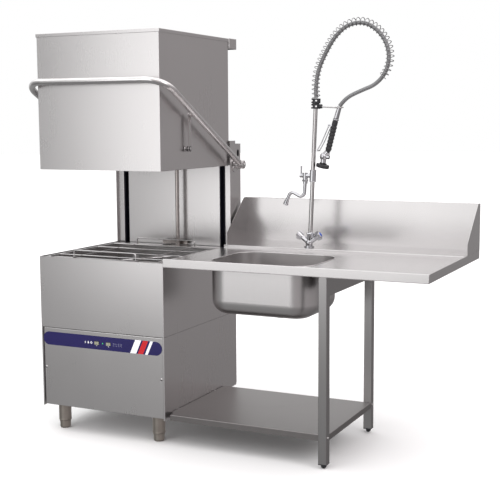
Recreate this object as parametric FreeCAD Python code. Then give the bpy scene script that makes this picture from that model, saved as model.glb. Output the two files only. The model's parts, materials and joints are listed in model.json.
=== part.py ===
import FreeCAD, Part
import math
import os
from FreeCAD import Vector

# Hood-type commercial dishwasher with its inlet table, sink and pre-rinse spray.
# Millimetres, +Z up. Every place below is written from the machine's front left
# corner on the floor: X to the right, Y to the back. save() moves each piece so
# that the origin is the middle of the whole object on the floor.

# ---- machine body
WIDTH = 680.0
DEPTH = 740.0
BASE_Z = 120.0            # underside of the casing, the height of the feet
SEAM_Z = 507.0            # joint between the lower panels and the upper casing
WORK_Z = 848.0            # top edge of the casing
SHEET = 1.5               # casing and hood sheet
HALF = WIDTH / 2

# ---- hood and its column
HOOD_INSET = 10.0         # hood side to casing side
HOOD_FRONT = 12.0
HOOD_BACK = 690.0
HOOD_Z = 1261.0           # lower edge with the hood raised
HOOD_TOP = 1892.0
CAP_RIM = 16.0
BEAM_Z = 1842.0
BEAM_BACK = 775.0
COLUMN_Y = 700.0
COLUMN_BACK = 804.0
COLUMN_TOP = 1385.0
SLOT_IN = 40.0            # outer edge of a guide slot from the casing side
SLOT_OUT = 69.0
GUIDE_BAR = 20.0
GUIDE_X = 54.0            # guide bar centre from the casing side
GUIDE_Y = 722.0

# ---- lever that moves the hood
TUBE_R = 15.5
ARM_X = 35.0              # arm centre outside the casing side
BAR_Y = -33.0
BAR_Z = 1668.0
BAR_BEND = 100.0
PIVOT_Y = 735.0
PIVOT_Z = 1265.0
LINK_X = 10.0             # link centre outside the casing side
HOOD_PIN_Y = 248.0
HOOD_PIN_Z = 1356.0
ARM_PIN_Y = 245.0
ARM_PIN_Z = 1512.0
CRANK_TIP_Y = 759.0
CRANK_TIP_Z = 1223.0

# ---- tank, washing and rinsing
TUB = (60.0, 620.0, 50.0, 590.0)       # mouth of the tank
TUB_Z = 600.0
SUMP = (215.0, 465.0, 195.0, 505.0)
SUMP_Z = 520.0
DECK_Z = 846.0
HUB_X = 340.0
HUB_Y = 320.0
ARM_R = 245.0
BASKET_Y = 240.0
HEATER_Z = 630.0
HEATER_Y = (78.0, 122.0)
WIRE_R = 3.0

# ---- control strip
STRIP = (12.0, 669.0, 422.0, 486.0)
STRIP_PROUD = 1.2
BUTTON_Z = 452.5
START_X = 316.0
PROGRAMME_X = 381.0
LAMP_X = 349.0

# ---- table, sink and frame
TABLE_END = 1908.0
TABLE_BACK = 860.0
LIP_Z = 870.0
LIP_LOW = 831.0
TABLE_Z = 857.0
RIM = 12.0
LEDGE_Y = 600.0
SPLASH_Y = 850.0
SPLASH_Z = 1092.0
BOWL = (851.0, 1355.0, 76.0, 480.0)
BOWL_Z = 617.0
BOWL_R = 100.0            # upright corners
BOWL_FLOOR_R = 65.0       # between the walls and the floor
WASTE = Vector(1103, 368, 0)
LEG = 38.0
LEG_X = 1431.0
LEG_FRONT = 2.0
LEG_REAR = 586.0
LEG_Z = 22.0
SHELF_Z = 149.0
SHELF_LIP = 27.0

# ---- mixer and pre-rinse spray, all in one upright plane behind the sink
TAP_Y = 665.0
TAP_X = 1118.0
RISER_R = 10.5
RISER_LOW = Vector(1124, TAP_Y, 925)
RISER_HIGH = Vector(1153, TAP_Y, 1592)
KNOB_Z = 893.0
KNOB_RISE = 35.0          # degrees that each valve neck rises from level
VALVE_Z = 1219.0
SPOUT_X = 1097.0
LEVER_X = 1076.0          # lever of the spout's valve
HOSE_R = 9.5
SPRING_R = 20.0
SPRING_BORE = 10.6
HOSE_POINTS = [(1154, 1592), (1150, 1640), (1165, 1728), (1204, 1808), (1248, 1878),
               (1312, 1932), (1400, 1940), (1477, 1886), (1517, 1806), (1511, 1717),
               (1456, 1650), (1378, 1622), (1301, 1588), (1274, 1551)]
SPRING_RUNS = 10          # runs of the hose that the spring covers
GUN_TOP = Vector(1274, TAP_Y, 1551)
GUN_COLLAR = Vector(1251, TAP_Y, 1476)
GUN_BOTTOM = Vector(1214, TAP_Y, 1334)
GUN_BODY = Vector(1192, TAP_Y, 1312)
HEAD_TOP = Vector(1191, TAP_Y, 1282)
TRIGGER_PIVOT = Vector(1226, TAP_Y, 1461)

# ---- feet
FOOT_INSET = 75.0
FOOT_FRONT = 70.0
FOOT_REAR = 670.0
FOOT_PAD_Z = 38.0
FOOT_STEM_R = 8.0

# ---- pump, boiler and the connections on the rear
PUMP = Vector(320, 330, 240)            # middle of the volute's left face
DELIVERY_X = 351.0
DELIVERY_Z = 285.0
BOILER = Vector(130, 620, 150)
WASH_PIPE_X = 322.0
RINSE_PIPE_X = 388.0
PIPE_Y = 655.0
CLIP_Z = (850.0, 1300.0)                # lower edges of the pipe brackets
REAR_Z = 190.0
INLET_X = 500.0
DRAIN_X = 560.0
GLAND_X = 620.0

# ---- front panel
PANEL_LEFT = 15.0
PANEL_RIGHT = WIDTH - 8.5
SCREW_Z = 312.0
SCREW_X = (24.0, WIDTH - 17)
KEY_SLOT = (12.0, 7.5)                  # half width and half height of each key's hole

ORIGIN = Vector((TABLE_END - ARM_X - TUBE_R) / 2, (TABLE_BACK + BAR_Y - TUBE_R) / 2, 0)

X_AXIS = Vector(1, 0, 0)
Y_AXIS = Vector(0, 1, 0)
Z_AXIS = Vector(0, 0, 1)


# ---- shapes that many pieces share

def box(x0, x1, y0, y1, z0, z1):
    return Part.makeBox(x1 - x0, y1 - y0, z1 - z0, Vector(x0, y0, z0))


def rod(start, end, radius):
    span = end - start
    return Part.makeCylinder(radius, span.Length, start, span)


def pipe_piece(start, end, radius, bore):
    return rod(start, end, radius).cut(rod(start, end, bore))


def join(shapes):
    return shapes[0].fuse(shapes[1:]).removeSplitter()


def group(shapes):
    return Part.makeCompound(shapes)


def mirrored(shape):
    """The same piece on the machine's other side."""
    return shape.mirror(Vector(HALF, 0, 0), X_AXIS)


def both_sides(shape):
    return [shape, mirrored(shape)]


def open_box(x0, x1, y0, y1, z0, z1, wall):
    """A box with no top."""
    inside = box(x0 + wall, x1 - wall, y0 + wall, y1 - wall, z0 + wall, z1 + 1)
    return box(x0, x1, y0, y1, z0, z1).cut(inside)


def frame_wall(x0, x1, y0, y1, z0, z1, wall):
    """Four upright walls."""
    inside = box(x0 + wall, x1 - wall, y0 + wall, y1 - wall, z0 - 1, z1 + 1)
    return box(x0, x1, y0, y1, z0, z1).cut(inside)


def route(points, radii):
    """Straight runs joined by arcs, each arc tangent to its two runs."""
    edges = []
    here = points[0]
    for index in range(1, len(points) - 1):
        corner = points[index]
        back = (points[index - 1] - corner).normalize()
        ahead = (points[index + 1] - corner).normalize()
        half_turn = (math.pi - back.getAngle(ahead)) / 2
        reach = radii[index - 1] * math.tan(half_turn)
        first = corner + back * reach
        last = corner + ahead * reach
        inward = (back + ahead).normalize()
        middle = corner + inward * (radii[index - 1] / math.cos(half_turn) - radii[index - 1])
        if (first - here).Length > 0.001:
            edges.append(Part.LineSegment(here, first).toShape())
        edges.append(Part.Arc(first, middle, last).toShape())
        here = last
    if (points[-1] - here).Length > 0.001:
        edges.append(Part.LineSegment(here, points[-1]).toShape())
    return Part.Wire(edges)


def swept(points, radii, radius):
    circle = Part.makeCircle(radius, points[0], points[1] - points[0])
    return route(points, radii).makePipeShell([Part.Wire([circle])], True, False)


def bent_rod(points, bend, radius):
    return swept(points, [bend] * (len(points) - 2), radius)


def bent_pipe(points, bend, radius, bore):
    return bent_rod(points, bend, radius).cut(bent_rod(points, bend, bore))


def cord_radii(points):
    """As wide an arc at each point as its two runs allow."""
    radii = []
    for index in range(1, len(points) - 1):
        back = points[index - 1] - points[index]
        ahead = points[index + 1] - points[index]
        half_turn = (math.pi - back.getAngle(ahead)) / 2
        radii.append(0.45 * min(back.Length, ahead.Length) / math.tan(half_turn))
    return radii


def outline_x(points, x0, thick):
    """A plate whose outline is given as (y, z), standing across X."""
    corners = [Vector(x0, y, z) for y, z in points]
    face = Part.Face(Part.makePolygon(corners + [corners[0]]))
    return face.extrude(Vector(thick, 0, 0))


def link_bar(y0, z0, y1, z1, x0, x1, half_width):
    """A flat bar with round ends, standing across X."""
    low = Vector(x0, y0, z0)
    high = Vector(x0, y1, z1)
    thick = Vector(x1 - x0, 0, 0)
    along = (high - low).normalize()
    side = along.cross(X_AXIS) * half_width
    corners = [low + side, high + side, high - side, low - side]
    plate = Part.Face(Part.makePolygon(corners + [corners[0]])).extrude(thick)
    return join([plate, rod(low, low + thick, half_width), rod(high, high + thick, half_width)])


# ---- casing

def base_tray():
    return open_box(SHEET, WIDTH - SHEET, 26, DEPTH - SHEET, BASE_Z, BASE_Z + 40, 2)


def upper_casing():
    """One folded sheet round the tank, from the seam to the work height."""
    return frame_wall(0, WIDTH, 0, DEPTH, SEAM_Z + 1, WORK_Z, SHEET)


def lower_side_panels():
    notch = 14
    outline = [(0, BASE_Z), (DEPTH - notch, BASE_Z), (DEPTH, BASE_Z + notch), (DEPTH, SEAM_Z),
               (0, SEAM_Z)]
    skin = outline_x(outline, 0, SHEET)
    front_fold = box(0, 8, 0, SHEET, BASE_Z, SEAM_Z)
    front_return = box(0, 22, 24, 24 + SHEET, BASE_Z + 41, SEAM_Z)
    rear_fold = box(0, 16, DEPTH - 2 * SHEET - 0.5, DEPTH - SHEET - 0.5, BASE_Z + 41, SEAM_Z)
    return group(both_sides(join([skin, front_fold, front_return, rear_fold])))


def rear_covers():
    lower = box(SHEET + 0.2, WIDTH - SHEET - 0.2, DEPTH - SHEET, DEPTH, BASE_Z + 2, SEAM_Z)
    for x in (INLET_X, DRAIN_X, GLAND_X):
        start = Vector(x, DEPTH - 5, REAR_Z)
        lower = lower.cut(rod(start, start + Y_AXIS * 10, 14.5))
    upper = box(39, WIDTH - 39, COLUMN_BACK - SHEET, COLUMN_BACK, 560, 1369)
    return group([lower, upper])


def with_key_holes(plate):
    """The plate with its holes for the two keys and the lamp."""
    wide, high = KEY_SLOT
    for x in (START_X, PROGRAMME_X):
        plate = plate.cut(box(x - wide, x + wide, -5, 3, BUTTON_Z - high, BUTTON_Z + high))
    lamp_hole = Vector(LAMP_X, -5, BUTTON_Z)
    return plate.cut(rod(lamp_hole, lamp_hole + Y_AXIS * 9, 2.5))


def lower_front_panel():
    """Lift-off service panel, with its edges folded back."""
    low = BASE_Z + 8
    high = SEAM_Z - 2
    panel = box(PANEL_LEFT, PANEL_RIGHT, 0, 22, low, high)
    panel = panel.cut(box(PANEL_LEFT + SHEET, PANEL_RIGHT - SHEET, SHEET, 30, low + SHEET, high - SHEET))
    panel = with_key_holes(panel)
    for x in SCREW_X:
        hole = Vector(x, -1, SCREW_Z)
        panel = panel.cut(rod(hole, hole + Y_AXIS * 5, 3))
    return panel


def panel_screws():
    screws = []
    for x in SCREW_X:
        face = Vector(x, 0, SCREW_Z)
        dome = Part.makeSphere(9, face + Y_AXIS * 6)
        head = dome.common(box(x - 9, x + 9, -3, 0, SCREW_Z - 9, SCREW_Z + 9))
        screws.append(join([head, rod(face, face + Y_AXIS * 14, 2.9)]))
    return group(screws)


def control_strip():
    x0, x1, z0, z1 = STRIP
    radius = (z1 - z0) / 2
    middle = (z0 + z1) / 2
    back = -Y_AXIS * STRIP_PROUD
    left = Vector(x0 + radius, 0, middle)
    right = Vector(x1 - radius, 0, middle)
    plate = join([box(left.x, right.x, -STRIP_PROUD, 0, z0, z1), rod(left, left + back, radius),
                  rod(right, right + back, radius)])
    return with_key_holes(plate)


def button(x):
    cap = box(x - 11.6, x + 11.6, -4.2, 6, BUTTON_Z - 7.1, BUTTON_Z + 7.1)
    upright = [edge for edge in cap.Edges if abs(edge.Vertexes[0].X - edge.Vertexes[1].X) < 0.01
               and abs(edge.Vertexes[0].Z - edge.Vertexes[1].Z) < 0.01]
    cap = cap.makeFillet(1.5, upright)
    start = Vector(x, 6, BUTTON_Z)
    return join([cap, rod(start, start + Y_AXIS * 10, 3)])


def indicator_lamp():
    start = Vector(LAMP_X, -1.6, BUTTON_Z)
    return rod(start, start + Y_AXIS * 9, 2.4)


def control_box():
    """Electrical enclosure behind the front panel, open towards it."""
    case = box(70, 620, 34, 150, 330, 490)
    return case.cut(box(72, 618, 30, 148, 332, 488))


# ---- feet

def foot_places():
    return [Vector(x, y, 0) for x in (FOOT_INSET, WIDTH - FOOT_INSET) for y in (FOOT_FRONT, FOOT_REAR)]


def foot_sleeves():
    sleeves = []
    for place in foot_places():
        low = place + Z_AXIS * (FOOT_PAD_Z + 2)
        top = place + Z_AXIS * BASE_Z
        tube = pipe_piece(low, top, 30, 27.5)
        nut = pipe_piece(top - Z_AXIS * 22, top, 14, FOOT_STEM_R + 0.05)
        plate = pipe_piece(top - Z_AXIS * 4, top, 28, FOOT_STEM_R + 0.05)
        sleeves.append(join([tube, nut, plate]))
    return group(sleeves)


def foot_pads():
    pads = []
    for place in foot_places():
        pad = rod(place, place + Z_AXIS * FOOT_PAD_Z, 26)
        lowest = [edge for edge in pad.Edges if edge.BoundBox.ZMax < 0.01]
        pad = pad.makeFillet(9, lowest)
        stem = rod(place + Z_AXIS * (FOOT_PAD_Z - 1), place + Z_AXIS * (BASE_Z - 12), FOOT_STEM_R)
        pads.append(join([pad, stem]))
    return group(pads)


# ---- tank and what is in it

def wash_tank():
    """Deep tank with a flat rim, and the gutter that the hood's edge drops into."""
    x0, x1, y0, y1 = TUB
    rim_x = 16.0
    gutter_z = 815.0
    rim = frame_wall(rim_x, WIDTH - rim_x, 18, 682, gutter_z - SHEET, DECK_Z, SHEET)
    deck = box(rim_x, WIDTH - rim_x, 18, 682, DECK_Z - SHEET, DECK_Z)
    gutter = box(SHEET, WIDTH - SHEET, SHEET, COLUMN_Y, gutter_z - SHEET, gutter_z)
    gutter = gutter.cut(box(rim_x + 1, WIDTH - rim_x - 1, 19, 681, gutter_z - 5, gutter_z + 1))
    tub = open_box(x0 - 2, x1 + 2, y0 - 2, y1 + 2, TUB_Z - 2, DECK_Z, 2)
    sump = open_box(SUMP[0] - 2, SUMP[1] + 2, SUMP[2] - 2, SUMP[3] + 2, SUMP_Z - 2, TUB_Z, 2)
    tank = join([rim, deck, gutter, tub, sump])
    tank = tank.cut(box(x0, x1, y0, y1, TUB_Z, DECK_Z + 1))
    tank = tank.cut(box(SUMP[0], SUMP[1], SUMP[2], SUMP[3], SUMP_Z, TUB_Z + 1))
    for x, radius in ((WASH_PIPE_X, 26), (RINSE_PIPE_X, 11)):
        tank = tank.cut(rod(Vector(x, PIPE_Y, gutter_z - 5), Vector(x, PIPE_Y, DECK_Z + 2), radius))
    for x, y, radius in ((270, 330, 20.5), (HUB_X, 470, 16.5), (HUB_X, HUB_Y, 18.5)):
        tank = tank.cut(rod(Vector(x, y, SUMP_Z - 5), Vector(x, y, SUMP_Z + 2), radius))
    heater_hole = Vector(x0 - 5, sum(HEATER_Y) / 2, HEATER_Z)
    return tank.cut(rod(heater_hole, heater_hole + X_AXIS * 10, 28))


def tank_filters():
    """Two slotted trays over the tank floor, and the round basket between them."""
    trays = []
    for x0, x1 in ((64, 296), (384, 616)):
        tray = open_box(x0, x1, 54, 586, 698, 714, 1.5)
        for row in range(11):
            y = 76 + row * 45
            for x in range(int(x0) + 18, int(x1) - 40, 50):
                tray = tray.cut(box(x, x + 38, y, y + 22, 690, 702))
        trays.append(tray)
    low = Vector(HUB_X, BASKET_Y, 540)
    basket = rod(low, low + Z_AXIS * 176, 38).cut(rod(low + Z_AXIS * 1.5, low + Z_AXIS * 180, 36.5))
    for level in range(6):
        slot = low + Z_AXIS * (18 + 26 * level)
        basket = basket.cut(box(HUB_X - 50, HUB_X + 50, BASKET_Y - 12, BASKET_Y + 12, slot.z, slot.z + 12))
    return group(trays + [basket])


def overflow_pipe():
    low = Vector(HUB_X, 470, SUMP_Z + 0.3)
    high = Vector(HUB_X, 470, 705)
    pipe = pipe_piece(low, high, 20, 16)
    collar = pipe_piece(low, low + Z_AXIS * 12, 24, 16)
    grip = [Vector(HUB_X + x, 470, z) for x, z in ((-18, 703), (-18, 740), (18, 740), (18, 703))]
    return join([pipe, collar, bent_rod(grip, 9, 3)])


def tank_heater():
    """Hairpin element with its flange on the tank's left wall."""
    near, far = HEATER_Y
    hairpin = [Vector(x, y, HEATER_Z) for x, y in ((58, near), (560, near), (560, far), (58, far))]
    wall = Vector(TUB[0] - 2, (near + far) / 2, HEATER_Z)
    flange = rod(wall - X_AXIS * 8, wall, 34)
    neck = rod(wall - X_AXIS, wall + X_AXIS * 4, 28)
    return join([bent_rod(hairpin, 21.5, 5), flange, neck])


def wash_pump():
    """Motor and volute lying across the base."""
    volute = rod(PUMP, PUMP + X_AXIS * 62, 78)
    motor = rod(PUMP + X_AXIS * 62, PUMP + X_AXIS * 262, 62)
    fan_cover = rod(PUMP + X_AXIS * 262, PUMP + X_AXIS * 290, 66)
    outlet = Vector(DELIVERY_X, PUMP.y + 55, DELIVERY_Z)
    feet = [box(x, x + 14, PUMP.y - 60, PUMP.y + 60, BASE_Z + 2, PUMP.z - 40) for x in (430, 530)]
    return join([volute, motor, fan_cover, rod(outlet, outlet + Y_AXIS * 55, 22)] + feet)


def pump_pipes():
    """Suction elbow, delivery pipe to the column and the lower arm's upright pipe."""
    suction_x = PUMP.x - 50
    suction = bent_pipe([Vector(suction_x, PUMP.y, SUMP_Z - 2), Vector(suction_x, PUMP.y, PUMP.z), PUMP],
                        38, 20, 17)
    outlet = Vector(DELIVERY_X, PUMP.y + 110, DELIVERY_Z)
    delivery = bent_pipe([outlet, Vector(DELIVERY_X, PIPE_Y, DELIVERY_Z),
                          Vector(WASH_PIPE_X, PIPE_Y, DELIVERY_Z + 45), Vector(WASH_PIPE_X, PIPE_Y, 813)],
                         26, 22, 19)
    branch = [Vector(DELIVERY_X, 480, DELIVERY_Z + 22), Vector(DELIVERY_X, 480, 440),
              Vector(HUB_X, HUB_Y, 440), Vector(HUB_X, HUB_Y, 768)]
    branch_pipe = join([bent_pipe(branch, 30, 18, 15), lower_spindle()])
    return group([suction, delivery, branch_pipe])


def boiler():
    """Rinse water boiler with its element flange."""
    tall = 330
    shell = rod(BOILER, BOILER + Z_AXIS * tall, 85)
    inside = rod(BOILER + Z_AXIS * 2, BOILER + Z_AXIS * (tall - 2), 83)
    outlet = pipe_piece(BOILER + Z_AXIS * (tall - 10), BOILER + Z_AXIS * (tall + 20), 8, 5)
    legs = [box(x, x + 20, BOILER.y - 20, BOILER.y + 20, BASE_Z + 2, BASE_Z + 60)
            for x in (BOILER.x - 60, BOILER.x + 40)]
    element = BOILER + Z_AXIS * 110
    flange = rod(element - Y_AXIS * 80, element - Y_AXIS * 100, 38)
    neck = rod(element - Y_AXIS * 75, element - Y_AXIS * 90, 30)
    tank = join([shell, outlet, flange, neck] + legs).cut(inside)
    return tank.cut(rod(BOILER + Z_AXIS * (tall - 10), BOILER + Z_AXIS * (tall + 30), 5))


def service_fittings():
    """Water inlet valve, drain stub and cable gland on the rear panel."""
    inlet = Vector(INLET_X, DEPTH - 40, REAR_Z)
    valve = join([rod(inlet, inlet + Y_AXIS * 41, 14), rod(inlet + Y_AXIS * 41, inlet + Y_AXIS * 61, 13.2),
                  box(INLET_X - 16, INLET_X + 16, DEPTH - 60, DEPTH - 28, REAR_Z - 16, REAR_Z + 42)])
    drain = Vector(DRAIN_X, DEPTH - 50, REAR_Z)
    stub = join([pipe_piece(drain, drain + Y_AXIS * 52, 14.2, 10),
                 pipe_piece(drain + Y_AXIS * 52, drain + Y_AXIS * 82, 12.5, 10)])
    gland_start = Vector(GLAND_X, DEPTH - 15, REAR_Z)
    gland = join([pipe_piece(gland_start, gland_start + Y_AXIS * 33, 14, 8),
                  pipe_piece(gland_start + Y_AXIS * 15.2, gland_start + Y_AXIS * 21, 18, 8)])
    return group([valve, stub, gland])


# ---- wash and rinse arms

def hub(z0, z1, radius, bore):
    return pipe_piece(Vector(HUB_X, HUB_Y, z0), Vector(HUB_X, HUB_Y, z1), radius, bore)


def wash_arm(z, nozzle_side):
    """Flat tube arm with a hub and a row of nozzles that face the rack."""
    arm = box(HUB_X - ARM_R, HUB_X + ARM_R, HUB_Y - 17, HUB_Y + 17, z, z + 16)
    long_edges = [edge for edge in arm.Edges if edge.Length > 2 * ARM_R - 1]
    arm = arm.makeFillet(6, long_edges)
    pieces = [arm, hub(z - 6, z + 22, 27, 8)]
    face = z + 16 if nozzle_side > 0 else z
    for reach in range(60, 240, 42):
        for x in (HUB_X - reach, HUB_X + reach):
            start = Vector(x, HUB_Y, face - nozzle_side)
            pieces.append(rod(start, start + Z_AXIS * nozzle_side * 5, 6))
    return join(pieces).cut(rod(Vector(HUB_X, HUB_Y, z - 9), Vector(HUB_X, HUB_Y, z + 30), 10.05))


def rinse_arm(z):
    """Thin round arm, set at an angle to the wash arm."""
    turn = math.radians(55)
    reach = Vector(math.cos(turn), math.sin(turn), 0) * (ARM_R - 12)
    middle = Vector(HUB_X, HUB_Y, z)
    arm = rod(middle - reach, middle + reach, 6)
    whole = join([arm, hub(z - 9, z + 9, 18, 5)])
    return whole.cut(rod(middle - Z_AXIS * 12, middle + Z_AXIS * 12, 10.05))


def column_pipes():
    """Wash and rinse pipes that rise in front of the column and reach over the rack."""
    wash_z = 1346
    rinse_z = 1400
    wash = bent_pipe([Vector(WASH_PIPE_X, PIPE_Y, 813), Vector(WASH_PIPE_X, PIPE_Y, wash_z),
                      Vector(HUB_X, HUB_Y, wash_z), Vector(HUB_X, HUB_Y, wash_z - 28)], 26, 22, 19)
    rinse = bent_pipe([Vector(RINSE_PIPE_X, PIPE_Y, 790), Vector(RINSE_PIPE_X, PIPE_Y, rinse_z),
                       Vector(HUB_X, HUB_Y, rinse_z), Vector(HUB_X, HUB_Y, rinse_z - 28)], 20, 10, 8)
    spindle = rod(Vector(HUB_X, HUB_Y, 1261.5), Vector(HUB_X, HUB_Y, 1319), 10)
    foot = rod(Vector(HUB_X, HUB_Y, 1261.5), Vector(HUB_X, HUB_Y, 1264.5), 16)
    cap = rod(Vector(HUB_X, HUB_Y, 1316), Vector(HUB_X, HUB_Y, 1319), 22)
    brackets = [box(286, 432, PIPE_Y + 22, PIPE_Y + 25, z, z + 24) for z in CLIP_Z]
    clips = [pipe_piece(Vector(x, PIPE_Y, z + 2), Vector(x, PIPE_Y, z + 22), radius + 3, radius)
             for x, radius in ((WASH_PIPE_X, 22), (RINSE_PIPE_X, 10)) for z in CLIP_Z]
    ties = [box(RINSE_PIPE_X - 4, RINSE_PIPE_X + 4, PIPE_Y + 11, PIPE_Y + 23, z + 2, z + 22) for z in CLIP_Z]
    wash_side = join([wash, cap, spindle, foot] + clips[:2])
    rinse_side = join([rinse] + clips[2:] + ties)
    return join([wash_side, rinse_side] + brackets)


def lower_spindle():
    """Fixed bearing that both lower arms turn on."""
    low = Vector(HUB_X, HUB_Y, 768)
    return join([rod(low, low + Z_AXIS * 60, 10), rod(low, low + Z_AXIS * 4, 18),
                 rod(low + Z_AXIS * 56, low + Z_AXIS * 60, 14)])


def rack_guide():
    """Wire frame that carries the dish rack, with a guard rail front and back."""
    z = DECK_Z + WIRE_R + 0.2
    x0, x1 = 48, 656
    rails = [rod(Vector(x0, y, z), Vector(x1, y, z), WIRE_R) for y in (97, 250, 420, 573)]
    crossbars = [rod(Vector(x, 24, z), Vector(x, 600, z), WIRE_R) for x in (x0 + 3, 179, 519, x1 - 3)]
    guards = []
    for y in (30, 597):
        guards.append(bent_rod([Vector(179, y, z), Vector(179, y, 882), Vector(519, y, 882),
                                Vector(519, y, z)], 12, WIRE_R))
    return join(rails + crossbars + guards)


# ---- column behind the hood

def column_posts():
    """Folded side posts that carry the hood's guides and the lever's pivots."""
    x_in = WIDTH - 38
    skin = box(WIDTH - 2, WIDTH, 683, COLUMN_BACK, WORK_Z, COLUMN_TOP)
    front = box(x_in, WIDTH, COLUMN_Y, COLUMN_Y + 2, WORK_Z, COLUMN_TOP)
    inner = box(x_in, x_in + 2, COLUMN_Y, 712, WORK_Z, COLUMN_TOP)
    back = box(x_in, WIDTH, COLUMN_BACK - 2, COLUMN_BACK, 560, 1369)
    tail = box(WIDTH - 2, WIDTH, DEPTH + 0.5, COLUMN_BACK, 560, WORK_Z)
    foot = box(x_in, WIDTH, DEPTH + 0.5, DEPTH + 2.5, 560, WORK_Z)
    anchor = box(x_in, WIDTH - 1, 746, 772, 690, 693)
    ties = box(x_in, x_in + 12, DEPTH + 1, COLUMN_BACK - 1, 600, 603)
    post = join([skin, front, inner, back, tail, foot, anchor, ties])
    post = post.cut(box(x_in - 5, WIDTH + 5, 743, COLUMN_BACK + 5, 1369, COLUMN_TOP + 5))
    hole_low = Vector(WIDTH - 5, 773, 1312)
    hole = join([rod(hole_low, hole_low + X_AXIS * 9, 12), box(WIDTH - 5, WIDTH + 4, 761, 785, 1312, 1328),
                 rod(hole_low + Z_AXIS * 16, hole_low + Z_AXIS * 16 + X_AXIS * 9, 12)])
    pivot = Vector(WIDTH - 5, PIVOT_Y, PIVOT_Z)
    post = post.cut(hole).cut(rod(pivot, pivot + X_AXIS * 10, 14))
    return group(both_sides(post))


def column_back_panel():
    skin = box(SLOT_OUT, WIDTH - SLOT_OUT, COLUMN_Y, COLUMN_Y + SHEET, 815, COLUMN_TOP)
    folds = [box(SLOT_OUT, SLOT_OUT + SHEET, COLUMN_Y, 780, WORK_Z, COLUMN_TOP),
             box(WIDTH - SLOT_OUT - SHEET, WIDTH - SLOT_OUT, COLUMN_Y, 780, WORK_Z, COLUMN_TOP)]
    top = box(SLOT_OUT, WIDTH - SLOT_OUT, COLUMN_Y, 780, COLUMN_TOP - SHEET, COLUMN_TOP)
    return join([skin, top] + folds)


def guide_rails():
    """Dark channels behind the slots, in which the hood's bars slide."""
    x0, x1 = SLOT_IN + 1, SLOT_OUT - 1.2
    rail = box(x0, x1, 704, 738, 820, COLUMN_TOP - 4)
    rail = rail.cut(box(x0 + 2, x1 - 2, 700, 735.5, 815, COLUMN_TOP))
    return group(both_sides(rail))


def pivot_bearings():
    """Flanged bearings bolted to the posts, one for each arm of the lever."""
    face = Vector(WIDTH, PIVOT_Y, PIVOT_Z)
    flange = rod(face, face + X_AXIS * 4, 38)
    boss = rod(face - X_AXIS * 2, face + X_AXIS * 10, 17)
    bolts = []
    for step in range(3):
        turn = math.radians(90 + 120 * step)
        at = face + Vector(2, 29 * math.cos(turn), 29 * math.sin(turn))
        bolts.append(rod(at, at + X_AXIS * 6, 6))
    bearing = join([flange, boss.common(box(WIDTH, WIDTH + 20, 700, 770, 1230, 1300))] + bolts)
    bearing = bearing.cut(rod(face - X_AXIS * 9, face + X_AXIS * 20, 10.05))
    return group(both_sides(bearing))


def balance_springs():
    """Outer shape of the springs inside the posts that carry the hood's weight."""
    low = Vector(WIDTH - 18, CRANK_TIP_Y, 693)
    high = Vector(WIDTH - 18, CRANK_TIP_Y, CRANK_TIP_Z - 15)
    return group(both_sides(pipe_piece(low, high, 11, 7)))


# ---- hood

def hood_shell():
    x0, x1 = HOOD_INSET, WIDTH - HOOD_INSET
    skin = box(x0, x1, HOOD_FRONT, HOOD_BACK, HOOD_Z, HOOD_TOP)
    skin = skin.cut(box(x0 + SHEET, x1 - SHEET, HOOD_FRONT + SHEET, HOOD_BACK - SHEET, HOOD_Z - 1,
                        HOOD_TOP - SHEET))
    lap = 3.0
    cap = frame_wall(x0 - lap, x1 + lap, HOOD_FRONT - lap, HOOD_BACK + lap,
                     HOOD_TOP - CAP_RIM, HOOD_TOP, lap)
    hem = frame_wall(x0, x1, HOOD_FRONT, HOOD_BACK, HOOD_Z, HOOD_Z + 14, 3)
    pins = []
    for x, way in ((x1, 1), (x0, -1)):
        face = Vector(x, HOOD_PIN_Y, HOOD_PIN_Z)
        pins.append(rod(face, face + X_AXIS * way * 26, 6))
        pins.append(rod(face, face + X_AXIS * way * 3, 14))
        pins.append(rod(face + X_AXIS * way * 23, face + X_AXIS * way * 26, 9))
    return join([skin, cap, hem] + pins)


def hood_beam():
    """Channel across the back of the hood's top, closed at both ends."""
    x0, x1 = 5, WIDTH - 5
    channel = box(x0, x1, HOOD_BACK + 3, BEAM_BACK, BEAM_Z, HOOD_TOP + 2)
    return channel.cut(box(x0 + 2, x1 - 2, HOOD_BACK + 5, BEAM_BACK - 2, BEAM_Z - 1, HOOD_TOP))


def hood_guide_bars():
    half = GUIDE_BAR / 2
    bar = box(GUIDE_X - half, GUIDE_X + half, GUIDE_Y - half, GUIDE_Y + half, HOOD_Z + 1, HOOD_TOP)
    feet = [box(GUIDE_X - 5, GUIDE_X + 5, HOOD_BACK, GUIDE_Y - half + 1, z, z + 25)
            for z in (HOOD_Z + 14, HOOD_Z + 330)]
    return group(both_sides(join([bar] + feet)))


# ---- lever and links

def lever_handle():
    """Bent tube round the front of the hood."""
    left = -ARM_X
    right = WIDTH + ARM_X
    points = [Vector(left, PIVOT_Y, PIVOT_Z), Vector(left, BAR_Y, BAR_Z), Vector(right, BAR_Y, BAR_Z),
              Vector(right, PIVOT_Y, PIVOT_Z)]
    tube = bent_pipe(points, BAR_BEND, TUBE_R, TUBE_R - 1.5)
    lug_start = Vector(right - TUBE_R + 0.5, ARM_PIN_Y, ARM_PIN_Z)
    hub_start = Vector(WIDTH + 12, PIVOT_Y, PIVOT_Z)
    for shape in both_sides(rod(hub_start, hub_start + X_AXIS * 45, 21)):
        tube = tube.cut(shape)
    lugs = both_sides(rod(lug_start - X_AXIS * 3.5, lug_start + X_AXIS * 4, 9))
    return join([tube] + lugs)


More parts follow.
